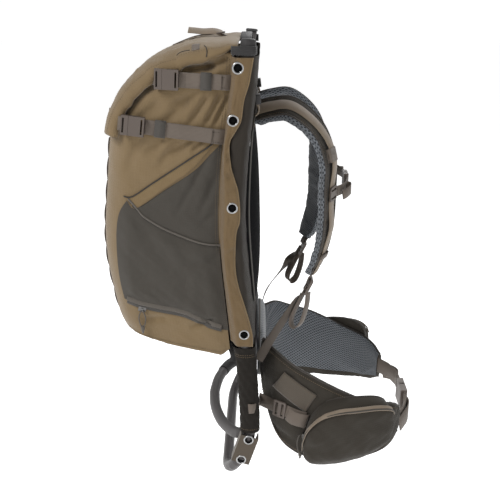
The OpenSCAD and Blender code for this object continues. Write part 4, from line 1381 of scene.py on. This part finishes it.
def shoulder_straps():
    """Each strap: a pad of air mesh faced with dark cloth, and webbing down its middle."""
    path, side_way, width = pad_frame()
    tangent = unit(np.gradient(path, axis=0))
    normal = unit(np.cross(tangent, side_way))
    true_side = np.cross(normal, tangent)
    down = np.linspace(0, 1, PAD_ROWS)
    slack = 0.0060 * bell(down - 0.44, 0.10) + 0.0035 * bell(down - 0.76, 0.06)
    for side, sign in SIDES:
        body = f"shoulder_{side}"
        sections = []
        for w in width:
            section = superellipse(w / 2, 0.0078, 0.62)
            outer = section[:, 1] < 0
            section[outer, 1] = np.maximum(section[outer, 1], -0.0070)
            sections.append(section)
        piece = pad(f"shoulder_pad_cloth_{side}", path, side_way, sections, body,
                    BLUE_MESH, HARNESS, f"shoulder_pad_{side}", sign > 0)
        set_face_rows(piece, [section[:, 1] < -0.0058 for section in sections])
        quilt(piece, 0.0005, 50, 1.0 + sign)
        inflate(piece, 0.0012, held_edges(sections))
        for edge in (-1, 1):
            line = path + true_side * (edge * (width / 2 - 0.0052))[:, None] - normal * 0.0070
            line = for_side(line[2:-2], sign)
            tube(f"shoulder_binding_{side}_{'out' if edge > 0 else 'in'}", line, 0.0016,
                 PIPING_CLOTH, body, count=8)
            inset = path + true_side * (edge * (width / 2 - 0.0100))[:, None] - normal * 0.0074
            stitches(f"shoulder_stitch_{side}_{'out' if edge > 0 else 'in'}",
                     for_side(inset[4:-4], sign), for_side(-normal[4:-4], sign), body)
        line = for_side((path - normal * (0.0090 + slack)[:, None])[3:], sign)
        web = sweep(f"shoulder_webbing_strap_{side}", line, for_side(side_way[3:], sign),
                    [(-0.0125, 0), (-0.0118, -0.0008), (0.0118, -0.0008), (0.0125, 0),
                     (0.0118, 0.0008), (-0.0118, 0.0008)], WEBBING_PALE, body)
        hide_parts(f"shoulder_webbing_{side}")
        hanger = [path[-7] - normal[-7] * 0.0092, path[-2] - normal[-2] * 0.0075,
                  *mm([83, -107, 181], [79, -107, 170])]
        strap(f"adjuster_hanger_{side}", for_side(hanger, sign), for_side(side_way[-1], sign),
              WEBBING, body, 0.022, 0.0016)
        for at, tall in ((48, 0.024), (98, 0.010)):
            center = for_side(path[at] - normal[at] * (0.0080 + 0.4 * slack[at]), sign)
            webbing_band(f"shoulder_keeper_{side}_{at}", center,
                         for_side(path[at + 1] - path[at], sign), for_side(true_side[at], sign),
                         0.0165, 0.0056, tall, WEBBING, body)
        adjuster(side, sign)


def set_face_rows(piece, flags):
    """Puts a pad's edge cloth on the faces whose section points are flagged, and no others."""
    flags = np.array(flags)
    count = flags.shape[1]
    for face in range((len(flags) - 1) * count):
        row, column = divmod(face, count)
        flagged = flags[row, column] and flags[row, (column + 1) % count]
        piece.data.polygons[face].material_index = 1 if flagged else 0


def adjuster(side, sign):
    """The ladder-lock below the pad, its webbing down to the frame and the hanging tail."""
    body = f"strap_adjuster_{side}"
    recoat(PLASTIC, body)
    foot = -16 if sign < 0 else -10
    low_line = for_side(mm([66, -112, 146], [58, -114, 137], [40, -122, 108], [6, -136, 56],
                           [foot, -146, 20 if sign < 0 else 8]), sign)
    flat_on = [(0.30, 0.88, 0.2), (0.75, 0.35, -0.5), (0.80, 0.10, -0.56),
               (0.80, 0.10, -0.56), (0.80, 0.2, -0.5)]
    turned = [(0.30, 0.88, 0.2), (0.34, -0.80, 0.2), (0.20, -0.93, 0.30),
              (0.22, -0.93, 0.28), (0.36, -0.90, 0.2)]
    ways = for_side(flat_on if sign < 0 else turned, sign)
    web = strap(f"lower_webbing_strap_{side}", low_line, ways, WEBBING_BROWN, None, 0.020,
                0.0016)
    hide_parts("lower_webbing")
    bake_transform(web)
    tail = mm([78, -110, 160], [70, -112, 146], [58, -113, 120], [49, -115, 98], [48, -116, 84],
              [55, -117, 77], [65, -117, 84], [72, -116, 102], [77, -114, 124], [79, -112, 148])
    hanging = strap(f"adjuster_tail_{side}", for_side(tail, sign),
                    for_side((0.55, 0.80, -0.2), sign), WEBBING, body, 0.018, 0.0018)


def plug_webbing(plug, low_end, high_end, width):
    """Webbing from a strap's end to its buckle's plug."""
    middle = [(a + b) / 2 for a, b in zip(low_end, high_end)]
    path = mm(high_end, (middle[0] + 1.2, *middle[1:]), low_end)
    web = strap(plug + "_webbing", path, (0, 0, 1), WEBBING, None, width, 0.0017)
    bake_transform(web)


def sternum():
    """The chest strap with its sliders on the shoulder webbing."""
    turn = Matrix.Rotation(math.radians(-25), 4, "Z")
    for side, sign in SIDES:
        body = f"sternum_{side}"
        end = -23.4 if sign < 0 else -39.0
        line = for_side(mm([127, -99, 345], [134, -90, 345], [141, -78, 345], [149, -55, 345],
                           [152, end if sign > 0 else -40, 345], [152, end, 345]), sign)
        web = strap(f"sternum_webbing_{side}", line, (0, 0, 1), WEBBING, body, 0.020, 0.0015, 4)
        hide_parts(f"sternum_strap_{side}")
        tail = for_side(mm([148, -62, 345], [155, -63, 344], [155, -74, 342], [147, -88, 339],
                           [138, -97, 337]), sign)
        strap(f"sternum_tail_{side}", tail, (0, 0.1, 1), WEBBING, body, 0.018, 0.0014, 4)
        center = Vector((0.107, -0.112, 0.345)) + turn @ Vector((0.0126, 0, 0))
        across = turn @ Vector((0, 1, 0))
        matrix = placing(for_side(center, sign), for_side(across, sign), (0, 0, 1))
        plate(f"sternum_slider_{side}", rounded(0.032, 0.026, 0.004), (0.026, 0.0035),
              (0, 0.0075), 0.0032, matrix, PLASTIC, body)
    recoat(PLASTIC, "sternum_socket", "sternum_plug")
    plug_webbing("sternum_plug", (152, 9, 345), (152, 42, 345), 0.020)


# ---------------------------------------------------------------- the hip belt

WING_LINE = mm([-6, -106, 0], [22, -140, -52], [62, -160, -86], [120, -170, -106],
               [185, -167, -120], [236, -148, -126], [266, -116, -130])
WING_HALF = mm([52, 88, 90, 78, 60, 46, 28])
WING_ROWS = 100
WING_THICK = 0.0072  # half of it


def wing_frame():
    """The wing's level path, the height of its middle and half its height."""
    full = smooth(np.hstack([WING_LINE, WING_HALF[:, None]]), 10)
    level = even(full, WING_ROWS)
    return level[:, :3] * (1, 1, 0), level[:, 2], level[:, 3]


def wing_way(path):
    """The level way out of the wing's outer face, row by row."""
    return unit(np.cross(unit(np.gradient(path, axis=0)), (0, 0, 1)))


def belt():
    """Each wing, its pocket with an arched zipper, its patch, adjuster and webbing."""
    path, shared_middle, shared_half = wing_frame()
    way = wing_way(path)
    k = np.linspace(0, 1, WING_ROWS)
    ends = 0.86 + 0.14 * ease(k / 0.03) * ease((1 - k) / 0.06)
    for side, sign in SIDES:
        body = f"belt_{side}"
        top = shared_middle + shared_half
        low = shared_middle - shared_half
        if sign < 0:
            top = top + 0.010 * ease((k - 0.15) / 0.3)
        else:
            top = top - 0.030 * (1 - ease(k / 0.55))
            low = low - 0.012 * ease((k - 0.4) / 0.4)
        middle = (top + low) / 2
        half = (top - low) / 2
        sections = []
        flags = []
        for m, h, e in zip(middle, half, ends):
            section = superellipse(h * e, WING_THICK, 0.55, 60, m)
            sections.append(section)
            flags.append((section[:, 1] < 0.0012) & (section[:, 0] > m - h * 0.82))
        piece = pad(f"belt_wing_cloth_{side}", path, (0, 0, 1), sections, body, HARNESS,
                    BLUE_MESH, f"belt_wing_{side}", sign > 0)
        set_face_rows(piece, flags)
        quilt(piece, 0.0009, 34, 2.0 + sign)
        inflate(piece, 0.0016, held_edges(sections))
        for edge in (-1, 1):
            line = path.copy()
            line[:, 2] = middle + edge * half * ends
            line = for_side(line + way * 0.0030, sign)
            tube(f"belt_binding_{side}_{'top' if edge > 0 else 'low'}", line, 0.0022,
                 PIPING_CLOTH, body, count=8)
            inset = path + way * 0.0078
            inset[:, 2] = middle + edge * (half * ends - 0.008)
            stitches(f"belt_stitch_{side}_{'top' if edge > 0 else 'low'}",
                     for_side(inset[4:-4], sign), for_side(way[4:-4], sign), body)
        belt_pocket(side, sign, path)
        belt_front_webbing(side, sign)
        wing_patch(side, sign, path)
    recoat(PLASTIC, "belt_socket", "belt_plug")
    plug_webbing("belt_plug", (296, 13, -134), (296, 48, -134), 0.038)


POCKET_UPPER = smooth(mm([78, -150], [80, -120], [88, -86], [108, -56], [140, -43], [184, -41],
                         [214, -47], [230, -64], [235, -98]), 6)
POCKET_LOWER = smooth(mm([78, -150], [80, -176], [94, -191], [136, -189], [182, -177],
                         [212, -164], [229, -148], [235, -124], [235, -98]), 6)


def wing_point(path, way, x, z, lift):
    """A point over the wing's outer face at (x, z)."""
    place = np.stack([np.interp(x, path[:, 0], path[:, k]) for k in range(3)], axis=-1)
    out = unit(np.stack([np.interp(x, path[:, 0], way[:, k]) for k in range(3)], axis=-1))
    place = place + out * (WING_THICK + np.asarray(lift)[..., None])
    place[..., 2] = z
    return place


def wing_line(path, way, stations):
    """Points over the wing's outer face, from x, z and lift in millimetres."""
    return np.array([wing_point(path, way, *mm(station)) for station in stations])


def belt_pocket(side, sign, path):
    """The pocket on the wing's outer face, with its arched zipper."""
    body = f"belt_{side}"
    way = wing_way(path)
    columns = 64
    upper = even(POCKET_UPPER, columns)
    lower = even(POCKET_LOWER, columns)
    t = np.linspace(0, 1, columns)[:, None]
    v = np.linspace(0, 1, 44)[None, :]
    x = lower[:, :1] * (1 - v) + upper[:, :1] * v
    z = lower[:, 1:] * (1 - v) + upper[:, 1:] * v
    round_t = (1 - np.abs(2 * t - 1) ** 5) ** 0.6
    round_v = (1 - np.abs(2 * v - 1) ** 4) ** 0.55
    puffed = 1 + 0.05 * wrinkle(x * 16, z * 16, 4.0 + sign)
    dip = 1 - 0.10 * bell(v - 0.08, 0.05) - 0.08 * bell(t - 0.15, 0.04)
    lift = 0.030 * round_t * round_v * puffed * dip - 0.0006
    grid = for_side(wing_point(path, way, x, z, np.minimum(lift, 0.0335)), sign)
    back = for_side(wing_point(path, way, x, z, np.full(x.shape, -0.0014)), sign)[:, ::-1]
    closed = np.concatenate([grid, back], axis=1)
    piece = grid_piece(f"belt_pocket_cloth_{side}", closed, HARNESS, body, closed=True)
    seams = np.zeros(closed.shape[:2], bool)
    seams[:, 44:] = True
    seams[[0, 1, -2, -1]] = True
    seams[:, [0, 43]] = True
    inflate(piece, 0.0030, seams.ravel())
    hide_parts(f"belt_pocket_{side}")
    normal = np.cross(np.gradient(grid, axis=0), np.gradient(grid, axis=1))
    normal = unit(normal) * (-1 if (normal[20, 20, 1] > 0) == (sign < 0) else 1)
    arch = [(2, k) for k in range(8, 30, 3)] + [(3, 32), (5, 35), (8, 37)] \
        + [(k, 38) for k in range(12, 60, 3)]
    line = np.array([grid[a] + normal[a] * 0.0016 for a in arch])
    up = unit(np.array([normal[a] for a in arch]))
    line = smooth(line, 4)
    up = unit(smooth(up, 4))
    flat_side = unit(np.cross(up, unit(np.gradient(line, axis=0))))
    tape = strap(f"belt_zip_tape_{side}", line, flat_side, WEBBING_PALE, body, 0.0105, 0.0016, 1)
    teeth = strap(f"belt_zip_teeth_{side}", line + up * 0.0014 - flat_side * 0.0022, flat_side,
                  ZIP_TAPE, body, 0.0028, 0.0014, 1)
    recoat(ZIP_METAL, f"belt_zip_slider_{side}")
    cord_pull(f"belt_zip_pull_{side}", 0.060)
    rim = np.vstack([grid[:, 0], grid[::-1, -1]])
    tube(f"belt_pocket_piping_{side}", np.vstack([rim, rim[:1]]), 0.0014, PIPING_CLOTH, body,
         count=8)


def belt_front_webbing(side, sign):
    """The wide webbing from the wing's tip to the buckle."""
    body = f"belt_{side}"
    end = -37 if sign < 0 else -45
    line = mm([256, -122, -132], [270, -108, -134], [283, -91, -134], [292, -70, -134],
              [296, -56, -134], [296, end, -134])
    web = strap(f"belt_webbing_strap_{side}", for_side(line, sign), (0, 0, 1), WEBBING, body,
                0.038, 0.0022, 5)
    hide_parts(f"belt_webbing_{side}")
    tail = mm([299, -52, -134], [300, -66, -135], [294, -84, -138], [283, -100, -142],
              [274, -110, -146])
    strap(f"belt_webbing_tail_{side}", for_side(tail, sign), (0, 0.05, 1), WEBBING, body, 0.037,
          0.0020, 5)


def wing_patch(side, sign, path):
    """The woven patch and the stabiliser webbing with its tri-glide, on the wing's rear."""
    body = f"belt_{side}"
    way = wing_way(path)
    corners = mm([19, -37], [78, -78], [39, 2], [98, -38])
    u = np.linspace(0, 1, 18)[:, None, None]
    v = np.linspace(0, 1, 12)[None, :, None]
    flat = ((corners[0] * (1 - u) + corners[1] * u) * (1 - v)
            + (corners[2] * (1 - u) + corners[3] * u) * v)
    lift = 0.0022 + 0.0010 * np.sin(math.pi * v[..., 0]) * np.sin(math.pi * u[..., 0])
    rows = for_side(wing_point(path, way, flat[..., 0], flat[..., 1], lift), sign)
    patch = grid_piece(f"wing_patch_{side}", rows, HARNESS_PALE, body, thick=0.0012)
    edge = np.vstack([rows[:, 1], rows[-2], rows[::-1, -2], rows[1, ::-1]])
    stitches(f"wing_patch_stitch_{side}", edge + (0, sign * 0.0008, 0), (0, sign, 0), body)
    line = wing_line(path, way, ((-4, -85, 4.0), (8, -82, 3.2), (22, -79, 3.0), (36, -79, 5.0),
                                 (52, -82, 7.5), (66, -86, 7.0), (78, -90, 3.0)))
    strap(f"stabiliser_webbing_{side}", for_side(line, sign), (0.25, 0, 1), WEBBING, body,
          0.026, 0.0018, 5)
    loop = wing_line(path, way, ((48, -84, 9), (58, -88, 13), (72, -91, 13), (80, -94, 9),
                                 (82, -96, 4)))
    strap(f"stabiliser_loop_{side}", for_side(loop, sign), (0.2, 0, 1), WEBBING, body, 0.030,
          0.0018, 5)
    bridge = for_side([*mm([-34, -188.6, -62], [-24, -187.5, -62], [-14, -166, -70]), line[0],
                       line[1]], sign)
    link = strap(f"stabiliser_bridge_{side}", bridge, (0.1, 0, 1), WEBBING, None, 0.021, 0.0018)
    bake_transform(link)
    center, ahead = for_side(wing_line(path, way, ((34, -79, 8.5), (44, -80.5, 8.5))), sign)
    matrix = placing(center, ahead - center, (0, 0, 1))
    plate(f"stabiliser_glide_{side}", rounded(0.026, 0.036, 0.003), (0.0048, 0.028),
          (0.0062, 0), 0.0034, matrix, PLASTIC, body)


# ---------------------------------------------------------------- putting it together

add_camera()
add_studio()
frame_tubes()
shelf_wrap()
frame_wrap()
lower_sleeves()
flanges()
grommets()
small_frame_straps()
bag()
lid()
back_and_yoke()
shoulder_straps()
sternum()
belt()

bpy.context.view_layer.update()
